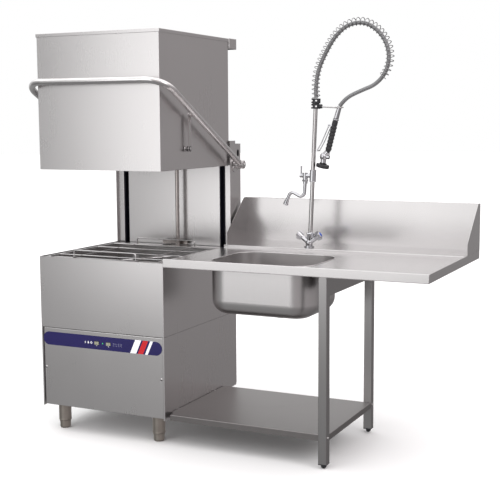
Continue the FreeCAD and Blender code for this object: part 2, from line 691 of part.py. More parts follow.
def lever_hubs():
    """Round ends of the arms with their shafts, and the cranks that pull the springs."""
    start = Vector(WIDTH + 12, PIVOT_Y, PIVOT_Z)
    outer = rod(start, start + X_AXIS * 41, 21)
    shaft = rod(Vector(WIDTH - 26, PIVOT_Y, PIVOT_Z), start + X_AXIS, 10)
    crank = link_bar(PIVOT_Y, PIVOT_Z, CRANK_TIP_Y, CRANK_TIP_Z, WIDTH - 32, WIDTH - 26, 13)
    tip = Vector(WIDTH - 40, CRANK_TIP_Y, CRANK_TIP_Z)
    crank = crank.cut(rod(tip, tip + X_AXIS * 20, 4))
    return group(both_sides(join([outer, shaft, crank])))


def lever_links():
    """Flat bars between the hood's studs and the lever, each with its own upper pin."""
    x0 = WIDTH + LINK_X - 2
    bar = link_bar(HOOD_PIN_Y, HOOD_PIN_Z, ARM_PIN_Y, ARM_PIN_Z, x0, x0 + 4, 10)
    hood_pin = Vector(x0 - 5, HOOD_PIN_Y, HOOD_PIN_Z)
    bush = rod(hood_pin - X_AXIS * 4, hood_pin + X_AXIS * 7, 10)
    arm_pin = Vector(x0 - 4, ARM_PIN_Y, ARM_PIN_Z)
    head = rod(arm_pin, arm_pin + X_AXIS * 7.2, 7)
    link = join([bar, bush, head]).cut(rod(hood_pin - X_AXIS * 10, hood_pin + X_AXIS * 12, 6.05))
    return group(both_sides(link))


# ---- table

def table_top():
    """Folded top with a raised rim, a recess for racks and a ledge at the back."""
    end = TABLE_END
    recess = box(WIDTH, end - RIM + SHEET, RIM - SHEET, LEDGE_Y, TABLE_Z - SHEET, TABLE_Z)
    front = join([box(WIDTH, end, 0, SHEET, LIP_LOW, LIP_Z), box(WIDTH, end, 0, RIM, LIP_Z - SHEET, LIP_Z),
                  box(WIDTH, end, RIM - SHEET, RIM, TABLE_Z - SHEET, LIP_Z)])
    right = join([box(end - SHEET, end, 0, TABLE_BACK, LIP_LOW, LIP_Z),
                  box(end - RIM, end, 0, TABLE_BACK, LIP_Z - SHEET, LIP_Z),
                  box(end - RIM, end - RIM + SHEET, 0, LEDGE_Y, TABLE_Z - SHEET, LIP_Z),
                  box(end - RIM, end, 0, TABLE_BACK, LIP_LOW, LIP_LOW + SHEET)])
    ledge = join([box(WIDTH + 5, end, LEDGE_Y, TABLE_BACK, LIP_Z - SHEET, LIP_Z),
                  box(WIDTH + 5, end, LEDGE_Y - SHEET, LEDGE_Y, TABLE_Z - SHEET, LIP_Z)])
    back = box(WIDTH + 5, end, TABLE_BACK - SHEET, TABLE_BACK, LIP_LOW, LIP_Z)
    left = join([box(WIDTH, WIDTH + SHEET, 0, LEDGE_Y, LIP_LOW, TABLE_Z),
                 box(WIDTH + 5, WIDTH + 5 + SHEET, LEDGE_Y - SHEET, TABLE_BACK, LIP_LOW, LIP_Z)])
    top = join([recess, front, right, ledge, back, left])
    top = top.cut(bowl_block(0, TABLE_Z - 20, TABLE_Z + 5))
    tap = Vector(TAP_X, TAP_Y, LIP_Z - 10)
    return top.cut(rod(tap, tap + Z_AXIS * 20, 14.3))


def bowl_block(inset, z0, z1):
    """Block of the bowl's plan with rounded upright corners."""
    x0, x1, y0, y1 = BOWL
    block = box(x0 + inset, x1 - inset, y0 + inset, y1 - inset, z0, z1)
    upright = [edge for edge in block.Edges if edge.BoundBox.ZLength > z1 - z0 - 1]
    return block.makeFillet(BOWL_R - inset, upright)


def round_floor(block, radius):
    """The block with its lowest edges rounded."""
    lowest = block.BoundBox.ZMin + 0.1
    return block.makeFillet(radius, [edge for edge in block.Edges if edge.BoundBox.ZMax < lowest])


def sink_bowl():
    outer = round_floor(bowl_block(0, BOWL_Z, TABLE_Z), BOWL_FLOOR_R)
    inner = round_floor(bowl_block(SHEET, BOWL_Z + SHEET, TABLE_Z + 5), BOWL_FLOOR_R - SHEET)
    hole = rod(WASTE + Z_AXIS * (BOWL_Z - 5), WASTE + Z_AXIS * (BOWL_Z + 5), 27)
    return outer.cut(inner).cut(hole)


def sink_waste():
    """Drain flange, strainer plate and threaded tail."""
    flange = rod(WASTE + Z_AXIS * (BOWL_Z + SHEET), WASTE + Z_AXIS * (BOWL_Z + 4), 44)
    tail = rod(WASTE + Z_AXIS * (BOWL_Z - 45), WASTE + Z_AXIS * (BOWL_Z + 2), 24)
    nut = rod(WASTE + Z_AXIS * (BOWL_Z - 16), WASTE + Z_AXIS * BOWL_Z, 36)
    waste = join([flange, tail, nut])
    waste = waste.cut(rod(WASTE + Z_AXIS * (BOWL_Z - 50), WASTE + Z_AXIS * (BOWL_Z + 1), 21))
    holes = [WASTE]
    for step in range(8):
        turn = math.radians(45 * step)
        holes.append(WASTE + Vector(math.cos(turn), math.sin(turn), 0) * 15)
    for hole in holes:
        waste = waste.cut(rod(hole + Z_AXIS * BOWL_Z, hole + Z_AXIS * (BOWL_Z + 8), 3))
    return waste


def backsplash():
    """Upstand at the back of the table with a sloped wing at each end."""
    x0, x1 = WIDTH + 10, TABLE_END
    back = box(x0, x1, SPLASH_Y, SPLASH_Y + SHEET, LIP_Z, SPLASH_Z)
    cap = box(x0, x1, SPLASH_Y, TABLE_BACK, SPLASH_Z - SHEET, SPLASH_Z)
    hem = box(x0, x1, TABLE_BACK - SHEET, TABLE_BACK, SPLASH_Z - 18, SPLASH_Z)
    outline = [(622, LIP_Z), (622, LIP_Z + 56), (818, SPLASH_Z), (TABLE_BACK, SPLASH_Z), (TABLE_BACK, LIP_Z)]
    wings = [outline_x(outline, x0, SHEET), outline_x(outline, x1 - SHEET, SHEET)]
    return join([back, cap, hem] + wings)


def table_frame():
    """Two square-tube legs at the table's right, tied by a deep side rail."""
    legs = []
    for y in (LEG_FRONT, LEG_REAR):
        leg = box(LEG_X, LEG_X + LEG, y, y + LEG, LEG_Z, TABLE_Z - SHEET)
        bore = box(LEG_X + SHEET, LEG_X + LEG - SHEET, y + SHEET, y + LEG - SHEET, LEG_Z - 5, TABLE_Z - 6)
        legs.append(leg.cut(bore))
    rail_x = LEG_X + LEG - 10
    rail = box(rail_x, rail_x + 2, LEG_FRONT + LEG, LEG_REAR, 745, TABLE_Z - SHEET)
    fold = box(rail_x - 18, rail_x + 2, LEG_FRONT + LEG, LEG_REAR, 745, 747)
    return join(legs + [rail, fold])


def table_shelf():
    """Shelf between the casing and the legs, notched at its front left corner."""
    x0, x1 = WIDTH + 2, LEG_X + LEG
    y0, y1 = 11, 587
    notch_x, notch_y = WIDTH + 19, 51
    low = SHELF_Z - SHELF_LIP
    plate = box(x0, x1, y0, y1, SHELF_Z - SHEET, SHELF_Z)
    lips = frame_wall(x0, x1, y0, y1, low, SHELF_Z, SHEET)
    shelf = join([plate, lips]).cut(box(x0 - 1, notch_x, y0 - 1, notch_y, low - 1, SHELF_Z + 1))
    notch_lips = [box(notch_x, notch_x + SHEET, y0, notch_y + SHEET, low, SHELF_Z),
                  box(x0, notch_x + SHEET, notch_y, notch_y + SHEET, low, SHELF_Z)]
    tabs = [box(WIDTH, x0 + 1, y, y + 30, low, SHELF_Z - SHEET) for y in (90, 460)]
    shelf = join([shelf] + notch_lips + tabs)
    for y in (LEG_FRONT, LEG_REAR):
        shelf = shelf.cut(box(LEG_X, LEG_X + LEG + 1, y, y + LEG, 0, 400))
    return shelf


def table_feet():
    """Black end caps with a ball foot under each leg."""
    feet = []
    for y in (LEG_FRONT, LEG_REAR):
        x = LEG_X + LEG / 2
        plug = box(LEG_X, LEG_X + LEG, y, y + LEG, LEG_Z - 4, LEG_Z)
        insert = box(LEG_X + 1.6, LEG_X + LEG - 1.6, y + 1.6, y + LEG - 1.6, LEG_Z - 1, LEG_Z + 18)
        ball = Part.makeSphere(13, Vector(x, y + LEG / 2, 13)).common(box(x - 20, x + 20, y, y + LEG, 0, 20))
        feet.append(join([plug, insert, ball]))
    return group(feet)


# ---- mixer, riser and spout

def tap_point(x, z):
    return Vector(x, TAP_Y, z)


def riser_point(z):
    """A point on the riser's axis at a given height."""
    share = (z - RISER_LOW.z) / (RISER_HIGH.z - RISER_LOW.z)
    return RISER_LOW + (RISER_HIGH - RISER_LOW) * share


def knob_line(side):
    """Start and direction of a valve neck, sloping up to one side."""
    rise = math.radians(KNOB_RISE)
    return tap_point(TAP_X, KNOB_Z), Vector(side * math.cos(rise), 0, math.sin(rise))


def mixer_body():
    base = rod(tap_point(TAP_X, LIP_Z), tap_point(TAP_X, LIP_Z + 5), 24)
    thread = rod(tap_point(TAP_X, LIP_LOW - 25), tap_point(TAP_X, LIP_Z), 14)
    neck = rod(tap_point(TAP_X, LIP_Z + 4), tap_point(TAP_X, KNOB_Z + 4), 17)
    pieces = [base, thread, neck, Part.makeSphere(18, tap_point(TAP_X, KNOB_Z))]
    for side in (-1, 1):
        start, way = knob_line(side)
        pieces.append(rod(start, start + way * 38, 13))
        pieces.append(rod(start + way * 30, start + way * 42, 11))
    collar = tap_point(TAP_X + 3, KNOB_Z + 10)
    pieces.append(rod(collar, riser_point(926), 14))
    pieces.append(rod(riser_point(918), riser_point(942), 17))
    return join(pieces).cut(rod(riser_point(930), riser_point(960), RISER_R))


def knob(side):
    """Faceted cross handle: a tapered hub with four lobes."""
    start, way = knob_line(side)
    low = start + way * 42.5
    hub_shape = Part.makeCone(11, 19, 22, low, way)
    cap = rod(low + way * 21, low + way * 28, 14)
    across = way.cross(Y_AXIS)
    pieces = [hub_shape, cap]
    for arm in (Y_AXIS, across):
        for sign in (-1, 1):
            lobe = low + arm * sign * 15
            pieces.append(Part.makeCone(5, 9, 20, lobe + way * 4, way))
    return join(pieces)


def riser_pipe():
    return pipe_piece(riser_point(930), riser_point(1589.9), RISER_R, RISER_R - 2)


def spout_valve():
    """Clamped tee on the riser with the valve that feeds the swivel spout."""
    sleeve = rod(riser_point(1189), riser_point(1247), 16)
    centre = riser_point(VALVE_Z)
    body = rod(centre, tap_point(SPOUT_X, VALVE_Z), 11)
    end = rod(tap_point(SPOUT_X, VALVE_Z - 16), tap_point(SPOUT_X, VALVE_Z + 14), 13)
    bonnet = rod(tap_point(SPOUT_X, VALVE_Z), tap_point(LEVER_X + 6, VALVE_Z), 9)
    nut = rod(tap_point(SPOUT_X, VALVE_Z - 10), tap_point(SPOUT_X, 1190), 12.5)
    valve = join([sleeve, body, end, bonnet, nut])
    return valve.cut(rod(riser_point(1180), riser_point(1260), RISER_R))


def faucet_lever():
    """Upright lever on the left end of the spout's valve."""
    cap = rod(tap_point(LEVER_X + 5.5, VALVE_Z), tap_point(LEVER_X - 6, VALVE_Z), 10.5)
    tip = tap_point(LEVER_X + 1, VALVE_Z + 44)
    return join([cap, rod(tap_point(LEVER_X, VALVE_Z), tip, 4.5), Part.makeSphere(4.8, tip)])


def swivel_spout():
    """S-shaped spout that turns under the valve."""
    points = [tap_point(SPOUT_X, 1189), tap_point(SPOUT_X - 6, 1106), tap_point(1022, 1142),
              tap_point(996, 1086)]
    collar = rod(tap_point(SPOUT_X, 1180), tap_point(SPOUT_X, 1189.5), 12)
    end = points[-1]
    way = (points[-1] - points[-2]).normalize()
    nozzle = rod(end - way * 10, end + way * 8, 11)
    return join([bent_rod(points, 20, 8.5), collar, nozzle])


# ---- pre-rinse spray

def riser_clamp():
    """Black double clamp at the riser's top, which also carries the hook."""
    clamp = rod(riser_point(1540), riser_point(1562), 22)
    upper = rod(riser_point(1566), riser_point(1589), 22)
    waist = rod(riser_point(1560), riser_point(1568), 17)
    socket = rod(riser_point(1551) + X_AXIS * 14, riser_point(1551) + X_AXIS * 32, 10)
    body = join([clamp, upper, waist, socket])
    body = body.cut(rod(riser_point(1530), riser_point(1600), RISER_R))
    start, end = hook_ends()
    return body.cut(rod(start - (end - start) * 0.02, end, 4))


def hook_ends():
    """Where the hook's rod starts in the clamp, and where it meets its ring."""
    ring_middle = GUN_TOP - X_AXIS * 2 - Z_AXIS * 6
    return riser_point(1551) + X_AXIS * 15, ring_middle - X_AXIS * 17


def hose_hook():
    """Rod from the clamp to the ring that the gun hangs in."""
    start, end = hook_ends()
    ring = Part.makeTorus(17, 3, end + X_AXIS * 17, Z_AXIS)
    return join([rod(start, end, 4), ring])


def hose_path():
    return [tap_point(x, z) for x, z in HOSE_POINTS]


def hose():
    points = hose_path()
    return swept(points, cord_radii(points), HOSE_R)


def hose_spring():
    """Outer shape of the spring round the hose."""
    whole = hose_path()
    last = whole[SPRING_RUNS - 1]
    points = whole[:SPRING_RUNS] + [last + (whole[SPRING_RUNS] - last) * 0.5]
    radii = cord_radii(whole)[:SPRING_RUNS - 1]
    return swept(points, radii, SPRING_R).cut(swept(points, radii, SPRING_BORE))


def gun_grip():
    """Collar under the hook and the ribbed handle below it."""
    down = (GUN_BOTTOM - GUN_COLLAR).normalize()
    mouth = GUN_TOP + (GUN_COLLAR - GUN_TOP).normalize() * 3.15
    sleeve = Part.makeCone(10, 12, (GUN_COLLAR - mouth).Length, mouth, GUN_COLLAR - mouth)
    collar = rod(GUN_COLLAR - down * 4, GUN_COLLAR + down * 16, 13.5)
    handle = rod(GUN_COLLAR, GUN_BOTTOM, 11)
    rings = []
    for step in range(7):
        at = GUN_COLLAR + down * (36 + step * 14)
        rings.append(rod(at, at + down * 5, 12.2))
    return join([sleeve, collar, handle] + rings)


def gun_body():
    """Chrome valve body between the handle and the spray head."""
    down = (GUN_BODY - GUN_BOTTOM).normalize()
    elbow = join([rod(GUN_BOTTOM, GUN_BODY, 14), Part.makeSphere(19, GUN_BODY), rod(GUN_BODY, HEAD_TOP, 14)])
    side = rod(GUN_BODY, GUN_BODY + X_AXIS * 30 - Z_AXIS * 4, 10)
    seat = rod(GUN_BOTTOM - down, GUN_BOTTOM + down * 6, 15)
    return join([elbow, side, seat]).cut(rod(GUN_COLLAR, GUN_BOTTOM, 11))


def spray_head():
    """Round rubber-faced head, tilted with the gun."""
    way = Vector(-0.23, 0, -0.973).normalize()
    top = HEAD_TOP - Z_AXIS * 1
    neck = rod(top, top + way * 8, 17)
    disc = rod(top + way * 6, top + way * 24, 32)
    rim_edges = [edge for edge in disc.Edges if edge.Curve.TypeId == "Part::GeomCircle"]
    disc = disc.makeFillet(5, rim_edges)
    return join([neck, disc]).cut(rod(GUN_BODY, HEAD_TOP, 14))


def gun_trigger():
    """Wire lever along the handle that is squeezed to spray."""
    half = 16.5
    eyes = []
    arms = []
    for side in (-1, 1):
        offset = Y_AXIS * side * half
        top = TRIGGER_PIVOT + offset
        bend = tap_point(1189, 1380) + offset
        low = tap_point(1165, 1340) + offset
        eyes.append(rod(top - Y_AXIS * 2.5, top + Y_AXIS * 2.5, 6))
        arms.append(join([rod(top, bend, 2.4), Part.makeSphere(2.6, bend), rod(bend, low, 2.4)]))
    low = tap_point(1165, 1340)
    bar = rod(low - Y_AXIS * (half + 2.9), low + Y_AXIS * (half + 2.9), 3)
    return join(arms + eyes + [bar])


def save(name, shape):
    moved = shape.copy()
    moved.translate(-ORIGIN)
    moved.exportStep("parts/" + name + ".step")


PIECES = {
    "base_tray": base_tray, "upper_casing": upper_casing, "lower_side_panels": lower_side_panels,
    "rear_covers": rear_covers, "lower_front_panel": lower_front_panel, "panel_screws": panel_screws,
    "control_strip": control_strip, "indicator_lamp": indicator_lamp, "control_box": control_box,
    "foot_sleeves": foot_sleeves, "foot_pads": foot_pads, "wash_tank": wash_tank,
    "tank_filters": tank_filters, "overflow_pipe": overflow_pipe, "tank_heater": tank_heater,
    "wash_pump": wash_pump, "pump_pipes": pump_pipes, "boiler": boiler,
    "service_fittings": service_fittings, "column_pipes": column_pipes,
    "rack_guide": rack_guide, "column_posts": column_posts, "column_back_panel": column_back_panel,
    "guide_rails": guide_rails, "pivot_bearings": pivot_bearings, "balance_springs": balance_springs,
    "hood_shell": hood_shell, "hood_beam": hood_beam, "hood_guide_bars": hood_guide_bars,
    "lever_handle": lever_handle, "lever_hubs": lever_hubs, "lever_links": lever_links,
    "table_top": table_top, "backsplash": backsplash, "sink_bowl": sink_bowl, "sink_waste": sink_waste,
    "table_frame": table_frame, "table_shelf": table_shelf, "table_feet": table_feet,
    "mixer_body": mixer_body, "riser_pipe": riser_pipe, "spout_valve": spout_valve,
    "faucet_lever": faucet_lever, "swivel_spout": swivel_spout, "riser_clamp": riser_clamp,
    "hose_hook": hose_hook, "hose": hose, "hose_spring": hose_spring, "gun_grip": gun_grip,
    "gun_body": gun_body, "gun_trigger": gun_trigger, "spray_head": spray_head,
}


def main():
    os.makedirs("parts", exist_ok=True)
    for name, make in PIECES.items():
        save(name, make())
    save("start_button", button(START_X))
    save("programme_button", button(PROGRAMME_X))
    save("lower_wash_arm", wash_arm(779, 1))
    save("lower_rinse_arm", rinse_arm(812))
    save("upper_wash_arm", wash_arm(1290, -1))
    save("upper_rinse_arm", rinse_arm(1274))
    save("hot_knob", knob(-1))
    save("cold_knob", knob(1))
    points = hose_path()
    print("hose bend radii", [round(radius) for radius in cord_radii(points)])
    print("hose volume over section times length",
          round(hose().Volume / (math.pi * HOSE_R ** 2 * route(points, cord_radii(points)).Length), 4))


if __name__ == "__main__":
    main()
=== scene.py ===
import json
import math

import bmesh
import bpy
from bpy.props import FloatProperty, FloatVectorProperty, IntProperty, PointerProperty
from mathutils import Matrix, Vector


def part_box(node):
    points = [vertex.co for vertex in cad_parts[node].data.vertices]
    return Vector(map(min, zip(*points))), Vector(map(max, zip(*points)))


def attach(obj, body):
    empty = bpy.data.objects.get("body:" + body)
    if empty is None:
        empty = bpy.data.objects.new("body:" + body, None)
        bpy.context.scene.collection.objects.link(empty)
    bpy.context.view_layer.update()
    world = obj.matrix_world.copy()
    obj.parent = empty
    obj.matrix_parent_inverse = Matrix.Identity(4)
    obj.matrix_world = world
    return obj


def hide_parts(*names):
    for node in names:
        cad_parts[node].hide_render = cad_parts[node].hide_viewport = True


bl_info = {
    "name": "Hood dishwasher with inlet table",
    "version": (1, 0, 0),
    "blender": (4, 5, 0),
    "location": "3D View > Sidebar > Dishwasher",
    "description": "Finishes and fine parts round the dishwasher's working frame",
    "category": "Add Mesh",
}

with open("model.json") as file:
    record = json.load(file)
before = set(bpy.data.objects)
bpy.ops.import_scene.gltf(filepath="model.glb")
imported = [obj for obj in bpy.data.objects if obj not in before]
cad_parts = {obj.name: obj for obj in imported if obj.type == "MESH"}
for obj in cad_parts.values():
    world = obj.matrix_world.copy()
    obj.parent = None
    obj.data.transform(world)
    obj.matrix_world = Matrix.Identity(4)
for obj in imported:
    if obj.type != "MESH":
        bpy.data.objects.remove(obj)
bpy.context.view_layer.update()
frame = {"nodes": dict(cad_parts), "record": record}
NODES = frame["nodes"]
JOINTS = {joint["name"]: joint for joint in frame["record"]["behaviour"]["joints"]}
MACHINE = "machine"
MM = 0.001

X = Vector((1, 0, 0))
Y = Vector((0, 1, 0))
Z = Vector((0, 0, 1))


def joint_place(name):
    return Vector(JOINTS[name]["pos_m"])


def joint_line(name):
    return Vector(JOINTS[name]["axis"])


def middle_x():
    """The machine's own middle plane."""
    low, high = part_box("upper_casing")
    return (low.x + high.x) / 2


# ---- settings that a user changes

class DishwasherSizes(bpy.types.PropertyGroup):
    fold: FloatProperty(name="Fold radius", description="Outer radius of the folds in the sheets",
                        default=0.0022, min=0.0005, max=0.004, subtype="DISTANCE", unit="LENGTH")
    rim: FloatProperty(name="Edge radius", description="Softening of cut sheet edges",
                       default=0.00035, min=0.0001, max=0.0006, subtype="DISTANCE", unit="LENGTH")
    coil_wire: FloatProperty(name="Coil wire", description="Thickness of the wire round the spray hose",
                             default=0.0038, min=0.002, max=0.0045, subtype="DISTANCE", unit="LENGTH")
    coil_turns: IntProperty(name="Coil turns", description="Turns of the coil round the spray hose",
                            default=39, min=30, max=60)
    nozzles: IntProperty(name="Spray nozzles", description="Rubber nozzles in the head's outer ring",
                         default=20, min=8, max=32)
    louvres: IntProperty(name="Louvres", description="Pressed air slots in the rear cover",
                         default=8, min=2, max=12)


class DishwasherColours(bpy.types.PropertyGroup):
    steel: FloatVectorProperty(name="Sheet steel", description="Colour of the satin sheets", size=3,
                               default=(0.60, 0.583, 0.583), min=0, max=1, subtype="COLOR")
    tube: FloatVectorProperty(name="Tube steel", description="Colour of the polished tubes", size=3,
                              default=(0.57, 0.556, 0.556), min=0, max=1, subtype="COLOR")
    chrome: FloatVectorProperty(name="Chrome", description="Colour of the plated tap", size=3,
                                default=(0.52, 0.52, 0.54), min=0, max=1, subtype="COLOR")
    film: FloatVectorProperty(name="Control film", description="Colour of the printed strip", size=3,
                              default=(0.011, 0.008, 0.078), min=0, max=1, subtype="COLOR")
    accent: FloatVectorProperty(name="Stripe", description="Colour of the strip's middle stripe", size=3,
                                default=(0.46, 0.007, 0.011), min=0, max=1, subtype="COLOR")
    key: FloatVectorProperty(name="Keys", description="Colour of the two keys", size=3,
                             default=(0.27, 0.27, 0.20), min=0, max=1, subtype="COLOR")
    hose: FloatVectorProperty(name="Hose", description="Colour of the spray hose", size=3,
                              default=(0.20, 0.20, 0.205), min=0, max=1, subtype="COLOR")


# ---- shader mixing

class Amount:
    """One shader socket. Arithmetic on it adds Math nodes."""

    def __init__(self, mixer, socket):
        self.mixer = mixer
        self.socket = socket

    def maths(self, operation, first, second=0.0):
        made = self.mixer.node("ShaderNodeMath", {"operation": operation}, {0: first, 1: second})
        return Amount(self.mixer, made.outputs[0])

    def __add__(self, other):
        return self.maths("ADD", self, other)

    def __sub__(self, other):
        return self.maths("SUBTRACT", self, other)

    def __rsub__(self, other):
        return self.maths("SUBTRACT", other, self)

    def __mul__(self, other):
        return self.maths("MULTIPLY", self, other)

    __radd__ = __add__
    __rmul__ = __mul__

    def wave(self):
        return self.maths("SINE", self)


class Mixer:
    """Adds nodes to one tree."""

    def __init__(self, tree):
        self.tree = tree
        tree.nodes.clear()

    def node(self, kind, settings=None, sockets=None):
        made = self.tree.nodes.new(kind)
        for key, value in (settings or {}).items():
            if key == "stops":
                ramp = made.color_ramp
                while len(ramp.elements) < len(value):
                    ramp.elements.new(1.0)
                for element, (place, grey) in zip(ramp.elements, value):
                    element.position = place
                    element.color = (grey, grey, grey, 1)
            else:
                setattr(made, key, value)
        for key, value in (sockets or {}).items():
            source = value.socket if isinstance(value, Amount) else value
            if isinstance(source, bpy.types.NodeSocket):
                self.tree.links.new(source, made.inputs[key])
            else:
                made.inputs[key].default_value = source
        return made

    def place(self, scale=(1, 1, 1), turn=(0, 0, 0), source="Object"):
        here = self.node("ShaderNodeTexCoord").outputs[source]
        mapping = self.node("ShaderNodeMapping", None, {"Vector": here, "Rotation": turn, "Scale": scale})
        return mapping.outputs[0]

    def noise(self, scale, size=1.0, detail=2.0, turn=(0, 0, 0)):
        """Noise from 0 to 1; scale stretches it along the axes, per metre."""
        made = self.node("ShaderNodeTexNoise", None,
                         {"Vector": self.place(scale, turn), "Scale": size, "Detail": detail})
        return Amount(self, made.outputs[0])

    def clouds(self, size, detail=2.0):
        """Noise that is alike along all axes."""
        return self.noise((1, 1, 1), size, detail)

    def ramp(self, amount, stops):
        made = self.node("ShaderNodeValToRGB", {"stops": stops}, {0: amount})
        return Amount(self, made.outputs[0])

    def blend(self, amount, first, second):
        """A colour between two others."""
        made = self.node("ShaderNodeMix", {"data_type": "RGBA"},
                         {0: amount, 6: (*first, 1.0), 7: (*second, 1.0)})
        return made.outputs[2]

    def bump(self, height, depth):
        made = self.node("ShaderNodeBump", None, {"Height": height, "Distance": depth, "Strength": 1.0})
        return made.outputs[0]

    def surface(self, tone, tints, roughness, height, depth, others=None):
        """Sockets of a metal's shader: a colour between two tints, a roughness and a relief.
        The others add to these or change them."""
        return {"Base Color": self.blend(tone, *tints), "Metallic": 1.0, "Roughness": roughness,
                "Normal": self.bump(height, depth), **(others or {})}


def shade(colour, factor):
    return tuple(min(1.0, part * factor) for part in colour)


def tints(colour, dark, light):
    return shade(colour, dark), shade(colour, light)


def finish(name, build):
    """A material whose surface build() describes as sockets of the shader."""
    made = bpy.data.materials.get(name)
    if made is None:
        made = bpy.data.materials.new(name)
        made.use_nodes = True
        mixer = Mixer(made.node_tree)
        surface = mixer.node("ShaderNodeBsdfPrincipled", None, build(mixer))
        mixer.node("ShaderNodeOutputMaterial", None, {"Surface": surface.outputs[0]})
    return made


# ---- metals

UPRIGHT_BRUSH = (900, 900, 4)
LEVEL_BRUSH = (4, 900, 900)


def sheet_steel(name, colour, grain, roughness=0.28):
    """Satin sheet: brush lines along one way, cloudy polish and a few wiped smears."""
    def build(mixer):
        lines = mixer.noise(grain, 1.0, 3.0)
        clouds = mixer.clouds(2.6, 3.0)
        smears = mixer.noise((1, 1, 0.35), 7.0, 2.0, (0.3, 0.2, 0.5))
        polish = roughness - 0.045 + lines * 0.01 + clouds * 0.05 + smears * 0.03
        return mixer.surface(lines * 0.2 + clouds * 0.8, tints(colour, 0.965, 1.03), polish, lines, 0.0000005)
    return finish(name, build)


def upright_steel(settings):
    return sheet_steel("satin_sheet_upright", settings.steel, UPRIGHT_BRUSH)


def shaded_level_steel(settings):
    # The sheet colour is darkened to paint shade on the table top and backsplash.
    return sheet_steel("satin_sheet_level_painted_shade", shade(settings.steel, 0.91), LEVEL_BRUSH, 0.25)


def shaded_shelf_steel(settings):
    """Duller sheet of the shelf; its darker colour is painted shade from the table top above."""
    return sheet_steel("shelf_sheet_painted_shade", (0.255, 0.240, 0.238), LEVEL_BRUSH, 0.36)


def shaded_frame_steel(settings):
    """Square tube of the legs; its colour is darkened to paint the shade under the table top."""
    return sheet_steel("frame_tube_painted_shade", shade(settings.steel, 0.56), UPRIGHT_BRUSH, 0.3)


def inner_steel(settings):
    """Sheet that is out of sight, left as it was rolled."""
    return sheet_steel("tank_sheet", shade(settings.steel, 0.92), (380, 380, 60), 0.3)


def drawn_steel(settings):
    """Deep-drawn bowl: slanted polishing marks that fade into each other."""
    def build(mixer):
        marks = mixer.noise((420, 420, 14), 1.0, 3.0, (0.0, 0.6, 0.0))
        ripples = mixer.noise((5, 5, 12), 1.0, 2.0, (0.0, 0.7, 0.2))
        clouds = mixer.clouds(6.0, 3.0)
        return mixer.surface(marks * 0.4 + clouds * 0.6, tints(settings.steel, 0.93, 1.06),
                             0.27 + marks * 0.04 + clouds * 0.08, marks * 0.03 + ripples, 0.00009)
    return finish("drawn_bowl_steel", build)


def tube_steel(name, colour):
    """Tube and wire: fine polishing rings, small scratches."""
    def build(mixer):
        rings = mixer.clouds(700.0)
        strokes = mixer.noise((60, 60, 900), 1.0, 2.0, (0.4, 0.9, 0.3))
        scratches = mixer.ramp(strokes, [(0.66, 0.0), (0.7, 1.0)])
        clouds = mixer.clouds(9.0)
        return mixer.surface(clouds, tints(colour, 0.93, 1.06),
                             0.15 + rings * 0.03 + clouds * 0.05 + scratches * 0.05,
                             rings - scratches * 0.4, 0.000002)
    return finish(name, build)


def polished_steel(settings):
    return tube_steel("polished_tube_steel", settings.tube)


def brightened_lever_steel(settings):
    # The tube colour is brightened to paint the light that falls on the lever.
    return tube_steel("lever_tube_steel_painted_light", shade(settings.tube, 1.3))


def foot_steel(settings):
    """Turned feet, a little browner than the sheets."""
    def build(mixer):
        turns = mixer.noise((8, 8, 1500))
        clouds = mixer.clouds(30.0, 3.0)
        return mixer.surface(turns * 0.5 + clouds * 0.5, ((0.33, 0.29, 0.25), (0.50, 0.46, 0.42)),
                             0.24 + turns * 0.1 + clouds * 0.08, turns, 0.00004)
    return finish("turned_foot_steel", build)


def pipe_steel(settings):
    """Drawn pipe, slightly browned by hot water."""
    def build(mixer):
        drawn = mixer.noise((500, 500, 12))
        stain = mixer.clouds(12.0, 3.0)
        return mixer.surface(drawn * 0.3 + stain * 0.7, ((0.33, 0.30, 0.285), (0.48, 0.445, 0.43)),
                             0.2 + stain * 0.1, drawn, 0.000004)
    return finish("drawn_pipe_steel", build)


def chrome_plate(settings):
    """Plating with a few dried drops of water."""
    def build(mixer):
        clouds = mixer.clouds(25.0)
        water = mixer.ramp(mixer.clouds(160.0), [(0.66, 0.0), (0.74, 1.0)])
        return mixer.surface(clouds, tints(settings.chrome, 0.96, 1.04),
                             0.045 + clouds * 0.03 + water * 0.06, clouds, 0.00002)
    return finish("chrome_plate", build)


def coil_steel(settings):
    def build(mixer):
        drawn = mixer.clouds(420.0)
        clouds = mixer.clouds(14.0)
        return mixer.surface(clouds, ((0.27, 0.27, 0.275), (0.40, 0.40, 0.405)),
                             0.2 + drawn * 0.06 + clouds * 0.05, drawn, 0.00001)
    return finish("coil_spring_steel", build)


def heater_steel(settings):
    """Sheath browned by heat, with lime on it."""
    def build(mixer):
        heat = mixer.clouds(18.0, 3.0)
        lime = mixer.clouds(320.0, 3.0)
        return mixer.surface(heat, ((0.10, 0.085, 0.08), (0.24, 0.20, 0.17)), 0.38 + lime * 0.2,
                             lime, 0.00006)
    return finish("heater_sheath", build)


def cast_alloy(settings):
    def build(mixer):
        grit = mixer.clouds(260.0, 4.0)
        clouds = mixer.clouds(9.0, 3.0)
        return mixer.surface(grit * 0.5 + clouds * 0.5, ((0.26, 0.27, 0.28), (0.46, 0.47, 0.49)),
                             0.42 + grit * 0.2, grit, 0.00025, {"Metallic": 0.85})
    return finish("cast_motor_alloy", build)


def machined_brass(settings):
    def build(mixer):
        turns = mixer.clouds(900.0)
        stain = mixer.clouds(45.0, 3.0)
        return mixer.surface(stain, ((0.42, 0.27, 0.09), (0.66, 0.47, 0.20)),
                             0.2 + stain * 0.16 + turns * 0.04, turns, 0.00002)
    return finish("machined_brass", build)


